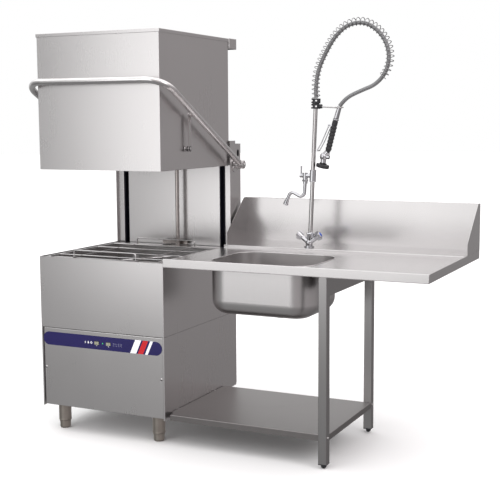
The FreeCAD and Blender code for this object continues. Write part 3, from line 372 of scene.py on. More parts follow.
def balance_coil_painted_shade(settings):
    """Close-wound spring: the turns are ridges round an upright axis; the colour paints shade in the grooves
    and a highlight on the ridges.
    """
    def build(mixer):
        turns = mixer.node("ShaderNodeTexWave", {"wave_type": "BANDS", "bands_direction": "Z"},
                           {"Vector": mixer.place(), "Scale": 90.0, "Distortion": 0.0})
        ridge = Amount(mixer, turns.outputs[1])
        # The colour follows the ridges: the dark grooves are painted shade, the light ridges a painted
        # highlight.
        return mixer.surface(ridge, ((0.08, 0.08, 0.08), (0.5, 0.5, 0.5)),
                             0.25 + mixer.clouds(20.0) * 0.12, ridge, 0.0012)
    return finish("balance_coil_painted_shade", build)


# ---- plastic, rubber and print

def moulding(name, dark, light, roughness, grit_size, depth, coat=0.0):
    """Moulded plastic or rubber with a fine spark-eroded grain and slight scuffing."""
    def build(mixer):
        grit = mixer.clouds(grit_size)
        scuffs = mixer.ramp(mixer.noise((1, 3, 1), 90.0, 3.0), [(0.62, 0.0), (0.75, 1.0)])
        return mixer.surface(mixer.clouds(35.0, 3.0) * 0.7 + scuffs * 0.3, (dark, light),
                             roughness - 0.05 + grit * 0.1 + scuffs * 0.08, grit, depth,
                             {"Metallic": 0.0, "Coat Weight": coat, "Coat Roughness": 0.12})
    return finish(name, build)


# Black plastic of real parts, also used for the painted shade in the louvre openings and screw slots.
def black_moulding_and_painted_shade(settings):
    return moulding("black_moulding_and_painted_shade", (0.010, 0.010, 0.012), (0.028, 0.028, 0.032), 0.38, 900.0, 0.00004)


def guide_moulding(settings):
    return moulding("guide_moulding", (0.004, 0.004, 0.012), (0.012, 0.012, 0.028), 0.3, 500.0, 0.00003)


def grip_rubber(settings):
    return moulding("grip_rubber", (0.012, 0.012, 0.014), (0.034, 0.034, 0.038), 0.5, 700.0, 0.00007)


def key_moulding(settings):
    return moulding("key_moulding", *tints(settings.key, 0.86, 1.08), 0.34, 1200.0, 0.00002, 0.3)


def printed_film(name, colour):
    """Smooth printed film with a faint embossing under the lacquer."""
    def build(mixer):
        emboss = mixer.clouds(1400.0, 1.0)
        clouds = mixer.clouds(12.0)
        return mixer.surface(clouds, tints(colour, 0.88, 1.12), 0.3 + emboss * 0.08 + clouds * 0.05,
                             emboss, 0.00001, {"Metallic": 0.0, "Coat Weight": 0.1, "Coat Roughness": 0.15,
                                               "Specular IOR Level": 0.3})
    return finish(name, build)


def navy_film(settings):
    return printed_film("navy_film", settings.film)


def lamp_lens(settings):
    def build(mixer):
        facets = mixer.clouds(900.0, 1.0)
        glow = mixer.blend(facets, (0.0, 0.5, 0.08), (0.1, 0.9, 0.2))
        return mixer.surface(facets, ((0.01, 0.30, 0.06), (0.05, 0.65, 0.16)), 0.18 + facets * 0.1,
                             facets, 0.00003, {"Metallic": 0.0, "Coat Weight": 0.6, "Emission Color": glow,
                                               "Emission Strength": 0.5})
    return finish("lamp_lens", build)


def hose_skin(settings):
    """Ribbed grey hose with its braid showing through the skin."""
    def build(mixer):
        here = mixer.node("ShaderNodeSeparateXYZ", None, {0: mixer.place(source="UV")})
        along = Amount(mixer, here.outputs[0]) * 1500.0
        round_it = Amount(mixer, here.outputs[1]) * 37.7
        braid = (along + round_it).wave() * (along - round_it).wave() * 0.5 + 0.5
        clouds = mixer.clouds(40.0, 3.0)
        return mixer.surface(braid * 0.7 + clouds * 0.3, tints(settings.hose, 0.82, 1.2),
                             0.28 + clouds * 0.08 + braid * 0.05, braid, 0.00008,
                             {"Metallic": 0.6, "Coat Weight": 0.35, "Coat Roughness": 0.2})
    return finish("hose_skin", build)


# ---- mesh making

def placed(start, axis, shift=0.0):
    """Turns +Z onto axis and moves the origin to start, shift further along."""
    turn = axis.to_track_quat("Z", "Y").to_matrix().to_4x4()
    return Matrix.Translation(start + axis.normalized() * shift) @ turn


def bevel(bm, edges, offset, segments=2, clamp=True):
    return bmesh.ops.bevel(bm, geom=edges, offset=offset, offset_type="OFFSET", segments=segments,
                           profile=0.5, affect="EDGES", clamp_overlap=clamp, material=-1)


def bar(bm, start, end, radius, end_radius=None, sides=32, edge=0.0):
    """Round bar between two points, with its ends softened."""
    span = end - start
    far = radius if end_radius is None else end_radius
    made = bmesh.ops.create_cone(bm, cap_ends=True, segments=sides, radius1=radius, radius2=far,
                                 depth=span.length, matrix=placed(start, span, span.length / 2))
    if edge > 0:
        caps = {face for vert in made["verts"] for face in vert.link_faces if len(face.verts) == sides}
        bevel(bm, list({rim for face in caps for rim in face.edges}), edge)


def block(bm, low, high, edge=0.0, turn=None):
    """Box between two corners with softened edges."""
    matrix = Matrix.Translation((low + high) / 2) @ Matrix.Diagonal((*(high - low), 1))
    verts = bmesh.ops.create_cube(bm, size=1.0, matrix=matrix)["verts"]
    if edge > 0:
        softened = bevel(bm, list({rim for vert in verts for rim in vert.link_edges}), edge)
        kept = {vert for vert in verts if vert.is_valid}
        verts = list(kept | {vert for face in softened["faces"] for vert in face.verts})
    if turn is not None:
        bmesh.ops.transform(bm, matrix=turn, verts=verts)
    return verts


def turned(bm, profile, start, axis, steps=32):
    """A profile of (radius, height) points spun round an axis."""
    matrix = placed(start, axis)
    verts = [bm.verts.new(matrix @ Vector((radius, 0, height))) for radius, height in profile]
    edges = [bm.edges.new(pair) for pair in zip(verts, verts[1:])]
    bmesh.ops.spin(bm, geom=verts + edges, cent=start, axis=axis.normalized(), dvec=(0, 0, 0),
                   angle=2 * math.pi, steps=steps, use_merge=True, use_duplicate=False)


def ring(bm, profile, start, axis, steps=32):
    """A profile that closes on its first point, spun round an axis."""
    turned(bm, [*profile, profile[0]], start, axis, steps)


def collar(bm, start, axis, bore, outer, height, edge, steps=32):
    """Ring of square section; edge is how far its outer corners are cut, across and along."""
    across, along = edge
    ring(bm, [(bore, 0), (outer - across, 0), (outer, along), (outer, height - along),
              (outer - across, height), (bore, height)], start, axis, steps)


def washer(bm, start, axis, bore, outer, height, steps=32):
    edge = height * 0.25
    collar(bm, start, axis, bore, outer, height, (edge, edge), steps)


def hexagon(bm, start, axis, across, height):
    """Hexagon head or nut, with its corners turned off."""
    radius = across / 2 / math.cos(math.pi / 6)
    bar(bm, start, start + axis.normalized() * height, radius, None, 6, height * 0.12)


def bead(bm, start, axis, radius, thick, steps=40):
    """Ring of round section, such as a weld or an O-ring."""
    points = 8
    profile = [(radius + thick * math.cos(2 * math.pi * step / points),
                thick * math.sin(2 * math.pi * step / points)) for step in range(points + 1)]
    turned(bm, profile, start, axis, steps)


def blob(bm, centre, radius, squash):
    """Small ball of weld metal, squashed along the axes."""
    made = bmesh.ops.create_icosphere(bm, subdivisions=2, radius=radius, matrix=Matrix.Translation(centre))
    bmesh.ops.scale(bm, vec=squash, verts=made["verts"], space=Matrix.Translation(-centre))


def make_piece(name, build, body, material, angle=35.0):
    """Builds a mesh, closes and turns it outwards, and lets it ride on its body."""
    bm = bmesh.new()
    build(bm)
    bmesh.ops.remove_doubles(bm, verts=bm.verts, dist=1e-6)
    bmesh.ops.recalc_face_normals(bm, faces=bm.faces)
    return keep(name, bm, body, material, angle=angle)


def mesh_from(name, bm):
    mesh = bpy.data.meshes.new(name)
    bm.to_mesh(mesh)
    bm.free()
    return mesh


def keep(name, bm, body, material, replaced=(), angle=35.0, smooth=True):
    """Finishes a bmesh as a piece; edges sharper than the angle stay sharp."""
    mesh = mesh_from(name, bm)
    if smooth:
        mesh.shade_smooth()
        mesh.set_sharp_from_angle(angle=math.radians(angle))
    return own(name, mesh, body, material, replaced)


def own(name, data, body, material, replaced=()):
    piece = bpy.data.objects.new(name, data)
    bpy.context.scene.collection.objects.link(piece)
    data.materials.append(material)
    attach(piece, body)
    if replaced:
        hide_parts(*replaced)
    return piece


def face_width(face, edge):
    return face.calc_area() / max(edge.calc_length(), 1e-6)


SHORTEST_FOLD = 0.02
NARROWEST_LEG = 0.006
SQUARE_WITHIN = 0.2
SHARP_ANGLE = math.radians(50)


def is_fold(edge):
    """An outside corner, about square, between two wide faces of a sheet."""
    if len(edge.link_faces) != 2 or edge.calc_length() < SHORTEST_FOLD:
        return False
    if not edge.is_convex or abs(edge.calc_face_angle(0) - math.pi / 2) > SQUARE_WITHIN:
        return False
    return min(face_width(face, edge) for face in edge.link_faces) > NARROWEST_LEG


def is_sharp(edge):
    return len(edge.link_faces) == 2 and edge.calc_face_angle(0) > SHARP_ANGLE


def is_curved(face):
    """A small facet of a round stretch, such as the inside of a slot's end."""
    bends = (edge.calc_face_angle(0) for edge in face.edges if len(edge.link_faces) == 2)
    return face.calc_area() < 3e-5 and any(0.02 < bend < 0.62 for bend in bends)


def folded_copy(node, body, material, sizes):
    """The sheet as it is, with its folds rounded and its cut edges softened."""
    bm = bmesh.new()
    bm.from_mesh(NODES[node].data)
    bmesh.ops.remove_doubles(bm, verts=bm.verts, dist=1e-5)
    bmesh.ops.dissolve_limit(bm, angle_limit=math.radians(0.4), verts=bm.verts, edges=bm.edges,
                             use_dissolve_boundaries=False, delimit=set())
    folds = [edge for edge in bm.edges if is_fold(edge)]
    # A face with a hole in it is split first, because the bevel would fill the hole.
    bmesh.ops.connect_verts_concave(bm, faces=bm.faces)
    rounds = set()
    if folds:
        rounds.update(bevel(bm, folds, sizes.fold, 3, False)["faces"])
    rounds.update(bevel(bm, [edge for edge in bm.edges if is_sharp(edge)], sizes.rim)["faces"])
    for face in bm.faces:
        face.smooth = face in rounds or is_curved(face)
    return keep(node + "_folded", bm, body, material, (node,), smooth=False)


# ---- stage

def studio_world():
    """Soft light by direction: bright overhead, a grey room behind, lighter on the left in front."""
    world = bpy.data.worlds.new("studio")
    bpy.context.scene.world = world
    world.use_nodes = True
    mixer = Mixer(world.node_tree)
    way = mixer.node("ShaderNodeSeparateXYZ", None, {0: mixer.place()})
    across, ahead, above = (Amount(mixer, way.outputs[index]) * 0.5 + 0.5 for index in range(3))
    behind = mixer.ramp(across, [(0.0, 0.7), (0.30, 0.58), (0.37, 0.46), (0.44, 0.52), (0.58, 0.34),
                                 (1.0, 0.5)])
    front = mixer.ramp(across, [(0.0, 0.36), (0.19, 0.40), (0.27, 0.66), (0.5, 0.55), (1.0, 0.58)])
    turn = mixer.ramp(ahead, [(0.42, 0.0), (0.56, 1.0)])
    level = behind * turn + front * (1.0 - turn)
    up = mixer.ramp(above, [(0.60, 0.0), (0.84, 1.0)])
    down = mixer.ramp(above, [(0.30, 1.0), (0.47, 0.0)])
    bright = level * (1.0 - up) * (1.0 - down * 0.5) + up * 1.7
    warm = mixer.ramp(across, [(0.4, 0.0), (0.7, 1.0)])
    tint = mixer.blend(warm, (1.0, 1.0, 1.0), (1.0, 0.955, 0.96))
    made = mixer.node("ShaderNodeBackground", None, {"Color": tint, "Strength": bright})
    mixer.node("ShaderNodeOutputWorld", None, {"Surface": made.outputs[0]})


def scenery(name, bm, material):
    """A piece of the set round the dishwasher."""
    piece = bpy.data.objects.new(name, mesh_from(name, bm))
    piece.data.materials.append(material)
    piece.visible_glossy = False
    bpy.context.scene.collection.objects.link(piece)
    return piece


def backdrop():
    """White all round, seen by the camera only."""
    bm = bmesh.new()
    bmesh.ops.create_icosphere(bm, subdivisions=4, radius=45.0)
    dome = scenery("backdrop", bm, finish("white_backdrop", lambda mixer: {
        "Base Color": (0, 0, 0, 1), "Specular IOR Level": 0.0, "Emission Color": (1, 1, 1, 1),
        "Emission Strength": 1.0}))
    dome.visible_diffuse = False
    dome.visible_transmission = False
    dome.visible_shadow = False


def floor():
    bm = bmesh.new()
    bmesh.ops.create_grid(bm, x_segments=1, y_segments=1, size=60.0)
    scenery("floor", bm, floor_paint())


def floor_paint():
    def build(mixer):
        clouds = mixer.noise((1, 1, 1), 1.5, 2.0)
        return {"Base Color": mixer.blend(clouds, (0.93, 0.93, 0.93), (0.95, 0.95, 0.95)), "Roughness": 0.9,
                "Specular IOR Level": 0.1}
    return finish("studio_floor", build)


# Name, place, target, width, height and watts.
LIGHTS = (("front_light", Vector((-1.35, -4.2, 1.52)), Vector((-1.0, 0, 1.4)), 3.4, 2.95, 38),
          ("right_light", Vector((4.5, -1.5, 3.2)), Vector((0.3, 0, 0.8)), 2.0, 2.0, 30))


def soft_box(name, place, target, width, height, watts):
    light = bpy.data.lights.new(name, "AREA")
    light.shape = "RECTANGLE"
    light.size = width
    light.size_y = height
    light.energy = watts
    lamp = bpy.data.objects.new(name, light)
    lamp.location = place
    lamp.rotation_euler = (target - place).to_track_quat("-Z", "Y").to_euler()
    lamp.visible_camera = False
    bpy.context.scene.collection.objects.link(lamp)


# The turn is yaw, pitch and roll, in radians.
CAMERA_PLACE = Vector((2.10295, -4.41465, 1.4794))
CAMERA_TURN = (0.4459, -0.118, -0.0056)
CAMERA_LENS = 74.8


def camera_matrix(place, yaw, pitch, roll):
    ahead = Vector((-math.sin(yaw), math.cos(yaw), 0))
    right = Vector((math.cos(yaw), math.sin(yaw), 0))
    look = ahead * math.cos(pitch) + Z * math.sin(pitch)
    top = Z * math.cos(pitch) - ahead * math.sin(pitch)
    side = right * math.cos(roll) + top * math.sin(roll)
    upper = top * math.cos(roll) - right * math.sin(roll)
    return Matrix.Translation(place) @ Matrix((side, upper, -look)).transposed().to_4x4()


class DISHWASHER_OT_stage(bpy.types.Operator):
    """Floor, soft light and camera"""
    bl_idname = "dishwasher.stage"
    bl_label = "Stage"

    def execute(self, context):
        context.scene.view_settings.view_transform = "Standard"
        studio_world()
        backdrop()
        floor()
        for light in LIGHTS:
            soft_box(*light)
        camera = bpy.data.cameras.new("camera")
        camera.sensor_width = 36.0
        camera.lens = CAMERA_LENS
        camera.clip_end = 200.0
        view = bpy.data.objects.new("camera", camera)
        view.matrix_world = camera_matrix(CAMERA_PLACE, *CAMERA_TURN)
        context.scene.collection.objects.link(view)
        context.scene.camera = view
        return {"FINISHED"}


# ---- spray hose and its coil

HOSE_Y = 0.25925
HOSE_POINTS = [(0.22525, 1.592), (0.22125, 1.640), (0.23625, 1.728), (0.27525, 1.808), (0.31925, 1.878),
               (0.38325, 1.932), (0.47125, 1.940), (0.54825, 1.886), (0.58825, 1.806), (0.58225, 1.717),
               (0.52725, 1.650), (0.44925, 1.622), (0.37225, 1.588), (0.34525, 1.551)]
HOSE_THICK = 0.019
COIL_RADIUS = 0.0202
COIL_SLACK = 0.0062
COIL_START = 0.002
COIL_REACH = 0.752


def line_length(points):
    return sum((ahead - here).length for here, ahead in zip(points, points[1:]))


def along_line(points, reach):
    """The point at a distance along a line, and the line's direction there."""
    gone = 0.0
    for here, ahead in zip(points, points[1:]):
        span = (ahead - here).length
        if gone + span >= reach:
            return here.lerp(ahead, (reach - gone) / span), (ahead - here).normalized()
        gone += span
    return points[-1].copy(), (points[-1] - points[-2]).normalized()


def tube_curve(name, points, thick, kind="POLY", sides=4, cyclic=False):
    curve = bpy.data.curves.new(name, "CURVE")
    curve.dimensions = "3D"
    spline = curve.splines.new(kind)
    spline.points.add(len(points) - 1)
    for point, place in zip(spline.points, points):
        point.co = (*place, 1)
    spline.use_cyclic_u = cyclic
    if kind == "NURBS":
        spline.order_u = 3
        spline.use_endpoint_u = True
        spline.resolution_u = 12
    curve.bevel_depth = thick / 2
    curve.bevel_resolution = sides
    curve.use_fill_caps = True
    return curve


def curve_mesh(curve):
    carrier = bpy.data.objects.new(curve.name, curve)
    bpy.context.scene.collection.objects.link(carrier)
    mesh = bpy.data.meshes.new_from_object(carrier)
    bpy.data.objects.remove(carrier)
    return mesh


def wire_piece(name, points, thick, body, material, replaced=(), sides=3, cyclic=False):
    mesh = curve_mesh(tube_curve(name + "_line", points, thick, "POLY", sides, cyclic))
    mesh.materials.clear()
    bm = bmesh.new()
    bm.from_mesh(mesh)
    bmesh.ops.remove_doubles(bm, verts=bm.verts, dist=1e-6)
    bmesh.ops.recalc_face_normals(bm, faces=bm.faces)
    return keep(name, bm, body, material, replaced, 50.0)


def coil_points(centre_line, turns, radius, reach, steps=20):
    """The coil's wire. The hose hangs against the inner side of its bend, except near the coil's ends."""
    points = []
    total = turns * steps
    for step in range(total + 1):
        share = step / total
        here, way = along_line(centre_line, COIL_START + share * reach)
        outward = way.cross(Y).normalized()
        settle = min(1.0, share * 6, (1 - share) * 8)
        centre = here + outward * COIL_SLACK * settle
        turn = 2 * math.pi * step / steps
        points.append(centre + outward * radius * math.cos(turn) + Y * radius * math.sin(turn))
    return points


class DISHWASHER_OT_spray_hose(bpy.types.Operator):
    """Spray hose with the coil that holds it up"""
    bl_idname = "dishwasher.spray_hose"
    bl_label = "Spray hose"

    def execute(self, context):
        sizes = context.scene.dishwasher_sizes
        colours = context.scene.dishwasher_colours
        route = [Vector((x, HOSE_Y, z)) for x, z in HOSE_POINTS]
        curve = tube_curve("spray_hose", route, 0.0, "NURBS")
        line = [vert.co.copy() for vert in curve_mesh(curve).vertices]
        curve.bevel_depth = HOSE_THICK / 2
        curve.bevel_resolution = 6
        hose = own("spray_hose", curve, MACHINE, hose_skin(colours), ("hose",))
        points = coil_points(line, sizes.coil_turns, COIL_RADIUS - sizes.coil_wire / 2,
                             line_length(line) * COIL_REACH)
        coil = wire_piece("spray_coil", points, sizes.coil_wire, MACHINE, coil_steel(colours),
                          ("hose_spring",))
        return {"FINISHED"}


# ---- finishes of the working frame

FINISHES = (
    (("base_tray", "rear_covers", "control_box", "column_back_panel", "hood_guide_bars"), upright_steel),
    (("wash_tank", "tank_filters", "overflow_pipe", "pump_pipes", "lower_wash_arm", "upper_wash_arm",
      "boiler"), inner_steel),
    (("lever_hubs", "lever_links", "pivot_bearings", "panel_screws", "rack_guide", "riser_pipe", "hose_hook",
      "lower_rinse_arm", "upper_rinse_arm", "sink_waste"), polished_steel),
    (("lever_handle",), brightened_lever_steel),
    (("mixer_body", "hot_knob", "cold_knob", "spout_valve", "faucet_lever", "swivel_spout", "gun_body",
      "gun_trigger"), chrome_plate),
    (("sink_bowl",), drawn_steel),
    (("foot_sleeves", "foot_pads"), foot_steel),
    (("column_pipes",), pipe_steel),
    (("tank_heater",), heater_steel),
    (("wash_pump",), cast_alloy),
    (("service_fittings",), machined_brass),
    (("balance_springs",), balance_coil_painted_shade),
    (("guide_rails",), guide_moulding),
    (("table_feet", "riser_clamp"), black_moulding_and_painted_shade),
    (("gun_grip", "spray_head"), grip_rubber),
    (("control_strip",), navy_film),
    (("start_button", "programme_button"), key_moulding),
    (("indicator_lamp",), lamp_lens),
)

SHEETS = (
    (("upper_casing", "lower_side_panels", "lower_front_panel"), MACHINE, upright_steel, "satin_stainless"),
    (("column_posts",), MACHINE, upright_steel, "inner_stainless"),
    (("hood_shell", "hood_beam"), "hood", upright_steel, "satin_stainless"),
    (("table_top", "backsplash"), MACHINE, shaded_level_steel, "satin_stainless"),
    (("table_shelf",), MACHINE, shaded_shelf_steel, "satin_stainless"),
    (("table_frame",), MACHINE, shaded_frame_steel, "satin_stainless"),
)


class DISHWASHER_OT_finishes(bpy.types.Operator):
    """Finishes of all parts of the working frame"""
    bl_idname = "dishwasher.finishes"
    bl_label = "Finishes"

    def execute(self, context):
        for nodes, material in FINISHES:
            made = material(context.scene.dishwasher_colours)
            for piece in (NODES[node] for node in nodes):
                if not piece.material_slots:
                    piece.data.materials.append(made)
                for place in piece.material_slots:
                    place.material = made
        return {"FINISHED"}


class DISHWASHER_OT_sheets(bpy.types.Operator):
    """Folded sheets with rounded folds and softened edges"""
    bl_idname = "dishwasher.sheets"
    bl_label = "Folded sheets"

    def execute(self, context):
        scene = context.scene
        for nodes, body, material, slot in SHEETS:
            for node in nodes:
                folded_copy(node, body, material(scene.dishwasher_colours), scene.dishwasher_sizes)
        return {"FINISHED"}


# ---- control strip

PRINT_THICK = 0.0003
STRIPE_LEAN = 0.45


def flat_bar(bm, x, z, width, height, front, lean=0.0):
    """Thin printed bar on the strip's face, leaned over when asked."""
    reach = Vector((width / 2, PRINT_THICK, height / 2))
    centre = Vector((x, front, z))
    shear = Matrix(((1, 0, lean), (0, 1, 0), (0, 0, 1))).to_4x4()
    here = Matrix.Translation(centre)
    block(bm, centre - reach, centre + reach, 0.0, here @ shear @ here.inverted())


def flat_disc(bm, x, z, radius, front):
    bar(bm, Vector((x, front + PRINT_THICK, z)), Vector((x, front - PRINT_THICK, z)), radius, None, 24)


def flat_ring(bm, x, z, radius, width, front):
    ring(bm, [(radius - width, 0), (radius, 0), (radius, 2 * PRINT_THICK), (radius - width, 2 * PRINT_THICK)],
         Vector((x, front + PRINT_THICK, z)), -Y, 24)


class DISHWASHER_OT_control_print(bpy.types.Operator):
    """Symbols and stripes printed on the control strip"""
    bl_idname = "dishwasher.control_print"
    bl_label = "Control print"

    def execute(self, context):
        colours = context.scene.dishwasher_colours
        low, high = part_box("control_strip")
        front = low.y
        height = high.z - low.z
        middle = (low.z + high.z) / 2
        stripes_x = low.x + 0.84 * (high.x - low.x)
        key_boxes = [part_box(node) for node in ("start_button", "programme_button")]
        keys = [(key_low.x + key_high.x) / 2 for key_low, key_high in key_boxes]
        key_foot = key_boxes[0][0].z
        line = (key_foot + key_boxes[0][1].z) / 2

        def white(bm):
            plus, drop, dial = (keys[0] - 0.064 + 0.017 * step for step in range(3))
            flat_bar(bm, plus, line, 0.0022, 0.011, front)
            flat_bar(bm, plus, line, 0.0075, 0.0022, front)
            flat_disc(bm, drop, line - 0.0015, 0.0042, front)
            neck = Vector((drop, front - PRINT_THICK, line + 0.001))
            bar(bm, neck, neck + Z * 0.006, 0.0032, 0.0003, 12)
            flat_ring(bm, dial, line, 0.0056, 0.0016, front)
            flat_bar(bm, dial, line, 0.0016, 0.007, front)
            for x in keys:
                tip = Vector((x, front - 0.0002, key_foot - 0.0082))
                bar(bm, tip, tip + Z * 0.005, 0.0004, 0.0038, 3)
            for side, width in ((-0.034, 0.032), (0.037, 0.014)):
                flat_bar(bm, stripes_x + side, middle, width, height, front, STRIPE_LEAN)

        def outline(bm):
            for step in range(4):
                x = keys[1] + 0.029 + 0.0135 * step
                flat_ring(bm, x, line + 0.003, 0.0035, 0.0007, front)
                flat_bar(bm, x, line - 0.005, 0.008, 0.0007, front)
                flat_bar(bm, x + 0.002 * (step % 2), line - 0.0075, 0.005, 0.0006, front)

        def stripe(bm):
            flat_bar(bm, stripes_x + 0.005, middle, 0.028, height, front, STRIPE_LEAN)

        def bezel(bm):
            line_width, gap = 0.0008, 0.0016
            for x, (key_low, key_high) in zip(keys, key_boxes):
                wide = (key_high.x - key_low.x) / 2 + gap
                tall = (key_high.z - key_low.z) / 2 + gap
                for way in (-1, 1):
                    flat_bar(bm, x + way * wide, line, line_width, 2 * tall + line_width, front)
                    flat_bar(bm, x, line + way * tall, 2 * wide, line_width, front)

        for name, build, ink, colour in (("strip_symbols", white, "white_ink", (0.82, 0.82, 0.84)),
                                         ("strip_outlines", outline, "grey_ink", (0.32, 0.32, 0.45)),
                                         ("strip_stripe", stripe, "red_ink", colours.accent),
                                         ("key_borders", bezel, "black_ink", (0.02, 0.02, 0.025))):
            make_piece(name, build, MACHINE, printed_film(ink, colour))
        return {"FINISHED"}


# ---- lever

def both_sides(build):
    """Builds a fitting on the machine's left and on its right."""
    def pair(bm):
        for way in (-1, 1):
            build(bm, way)
    return pair


def beside(way, x, place):
    """The point level with place on the left or right; x is where it is on the right."""
    return Vector((middle_x() + way * (x - middle_x()), place.y, place.z))


class DISHWASHER_OT_lever_fittings(bpy.types.Operator):
    """Bolts, bushes and washers of the lever, its links and its bearings"""
    bl_idname = "dishwasher.lever_fittings"
    bl_label = "Lever fittings"

    def execute(self, context):
        colours = context.scene.dishwasher_colours
        steel = polished_steel(colours)
        pivot = joint_place("lever_swing")
        stud = joint_place("link_swing")
        hub, bearing, link, hood, post = (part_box(node)[1].x for node in (
            "lever_hubs", "pivot_bearings", "lever_links", "hood_shell", "column_posts"))
        pin = Vector((0, stud.y - 0.003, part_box("lever_links")[1].z - 0.010))

        def hub_caps(bm, way):
            face = beside(way, hub, pivot)
            turned(bm, [(0, 0.0022), (0.012, 0.0022), (0.0185, 0.0008), (0.0205, -0.001), (0, -0.001)],
                   face, X * way, 40)
            hexagon(bm, face + X * way * 0.0018, X * way, 0.013, 0.0055)

        def hub_rings(bm, way):
            for reach in (0.0375, 0.0045):
                bead(bm, beside(way, hub - reach, pivot), X * way, 0.0208, 0.0013)

        def bearing_bolts(bm, way):
            circle = 0.029
            for step in range(3):
                turn = math.radians(90 + 120 * step)
                shift = Vector((0, circle * math.cos(turn), circle * math.sin(turn)))
                place = beside(way, post + 0.004, pivot + shift)
                washer(bm, place, X * way, 0.004, 0.0078, 0.0012)
                hexagon(bm, place + X * way * 0.0012, X * way, 0.0125, 0.0048)
            washer(bm, beside(way, bearing - 0.001, pivot), X * way, 0.0105, 0.0165, 0.0012)

        def stud_bushes(bm, way):
            ring(bm, [(0.0063, 0), (0.0118, 0), (0.0125, 0.001), (0.0125, 0.0035), (0.0108, 0.0042),
                      (0.0063, 0.0042)], beside(way, link - 0.0135, stud), X * way)
            ring(bm, [(0.0063, 0), (0.0108, 0), (0.0125, 0.0008), (0.0125, 0.0022), (0.0118, 0.003),
                      (0.0063, 0.003)], beside(way, link - 0.001, stud), X * way)

        def stud_caps(bm, way):
            turned(bm, [(0, 0.0016), (0.004, 0.0014), (0.0085, 0.0002), (0.0085, -0.001), (0, -0.001)],
                   beside(way, hood, stud), X * way)

        def link_nuts(bm, way):
            hexagon(bm, beside(way, link - 0.0012, pin), X * way, 0.0125, 0.0024)
            washer(bm, beside(way, link - 0.0035, pin), X * way, 0.0055, 0.0085, 0.0014)

        def crank_washers(bm, way):
            washer(bm, beside(way, post - 0.026, pivot), X * way, 0.0102, 0.0155, 0.002)

        def add(name, build, body, material=steel, angle=35.0):
            make_piece(name, both_sides(build), body, material, angle)

        add("hub_caps", hub_caps, "lever")
        add("hub_welds", hub_rings, "lever", inner_steel(colours), angle=60)
        add("bearing_bolts", bearing_bolts, MACHINE)
        add("stud_bushes", stud_bushes, "links", black_moulding_and_painted_shade(colours))
        add("stud_caps", stud_caps, "hood")
        add("link_nuts", link_nuts, "links")
        add("crank_washers", crank_washers, "lever")
        return {"FINISHED"}


# ---- tap and spray gun

RISER_THICK = 0.021
HANDLE_REACH = 0.0705


class DISHWASHER_OT_tap_fittings(bpy.types.Operator):
    """Handle caps, nuts, clamp screws and the spout's outlet"""
    bl_idname = "dishwasher.tap_fittings"
    bl_label = "Tap fittings"

    def execute(self, context):
        colours = context.scene.dishwasher_colours
        chrome = chrome_plate(colours)
        middle = joint_place("hot_turn")
        riser_low, riser_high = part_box("riser_pipe")
        lean = Vector((riser_high.x - riser_low.x - RISER_THICK, 0, riser_high.z - riser_low.z)).normalized()
        foot = Vector((riser_low.x + RISER_THICK / 2, middle.y, riser_low.z))

        def cap(profile, way):
            return lambda bm: turned(bm, profile, middle + way * HANDLE_REACH, way, 40)

        def base_nuts(bm):
            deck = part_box("table_top")[1].z
            body_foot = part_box("mixer_body")[0].z
            washer(bm, Vector((middle.x, middle.y, deck + 0.0042)), Z, 0.0168, 0.0225, 0.002, 40)
            hexagon(bm, Vector((middle.x, middle.y, body_foot + 0.008)), Z, 0.036, 0.009)
            hexagon(bm, foot + lean * 0.001, lean, 0.037, 0.011)
            bead(bm, foot + lean * 0.013, lean, 0.0112, 0.0014)

        def outlet(bm):
            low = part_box("swivel_spout")[0]
            mouth = Vector((low.x + 0.0112, middle.y, low.z + 0.0045))
            ring(bm, [(0.0072, -0.006), (0.0118, -0.006), (0.0124, -0.004), (0.0124, 0.003), (0.0114, 0.0042),
                      (0.0072, 0.0042)], mouth, Vector((-26, 0, -56)).normalized())

        def valve_rings(bm):
            low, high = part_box("spout_valve")
            for share in (0.06, 0.94):
                rise = low.z + share * (high.z - low.z) - foot.z
                bead(bm, foot + lean * (rise / lean.z), lean, 0.0158, 0.0013)
            hexagon(bm, joint_place("spout_swing") + Z * 0.0055, Z, 0.0262, 0.0085)

        def clamp_screws(bm):
            low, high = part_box("riser_clamp")
            for z in (low.z + 0.012, high.z - 0.012):
                for x in (low.x + 0.011, low.x + 0.033):
                    turned(bm, [(0, -0.0035), (0.0024, -0.0035), (0.0042, -0.0035), (0.0046, -0.003),
                                (0.0046, 0.002), (0, 0.002)], Vector((x, low.y + 0.0035, z)), Y, 20)

        cap_ring = [(0, -0.001), (0.0142, -0.001), (0.0148, 0.0004), (0.0138, 0.0026), (0.0118, 0.0031),
                    (0.0112, 0.0024), (0, 0.0024)]
        cap_dot = [(0, 0.0015), (0.0108, 0.0015), (0.0108, 0.0028), (0.0095, 0.0036), (0, 0.0041)]
        red = printed_film("red_cap", (0.5, 0.015, 0.02))
        blue = printed_film("blue_cap", (0.02, 0.07, 0.42))
        for part, profile, hot, cold in (("caps", cap_ring, chrome, chrome), ("dot", cap_dot, red, blue)):
            for side, material in (("hot", hot), ("cold", cold)):
                make_piece("handle_" + part + "_" + side, cap(profile, joint_line(side + "_turn")),
                           side + "_handle", material)
        make_piece("tap_nuts", base_nuts, MACHINE, chrome)
        make_piece("spout_outlet", outlet, "spout", chrome)
        make_piece("valve_rings", valve_rings, MACHINE, chrome)
        make_piece("clamp_screws", clamp_screws, MACHINE, polished_steel(colours))
        return {"FINISHED"}


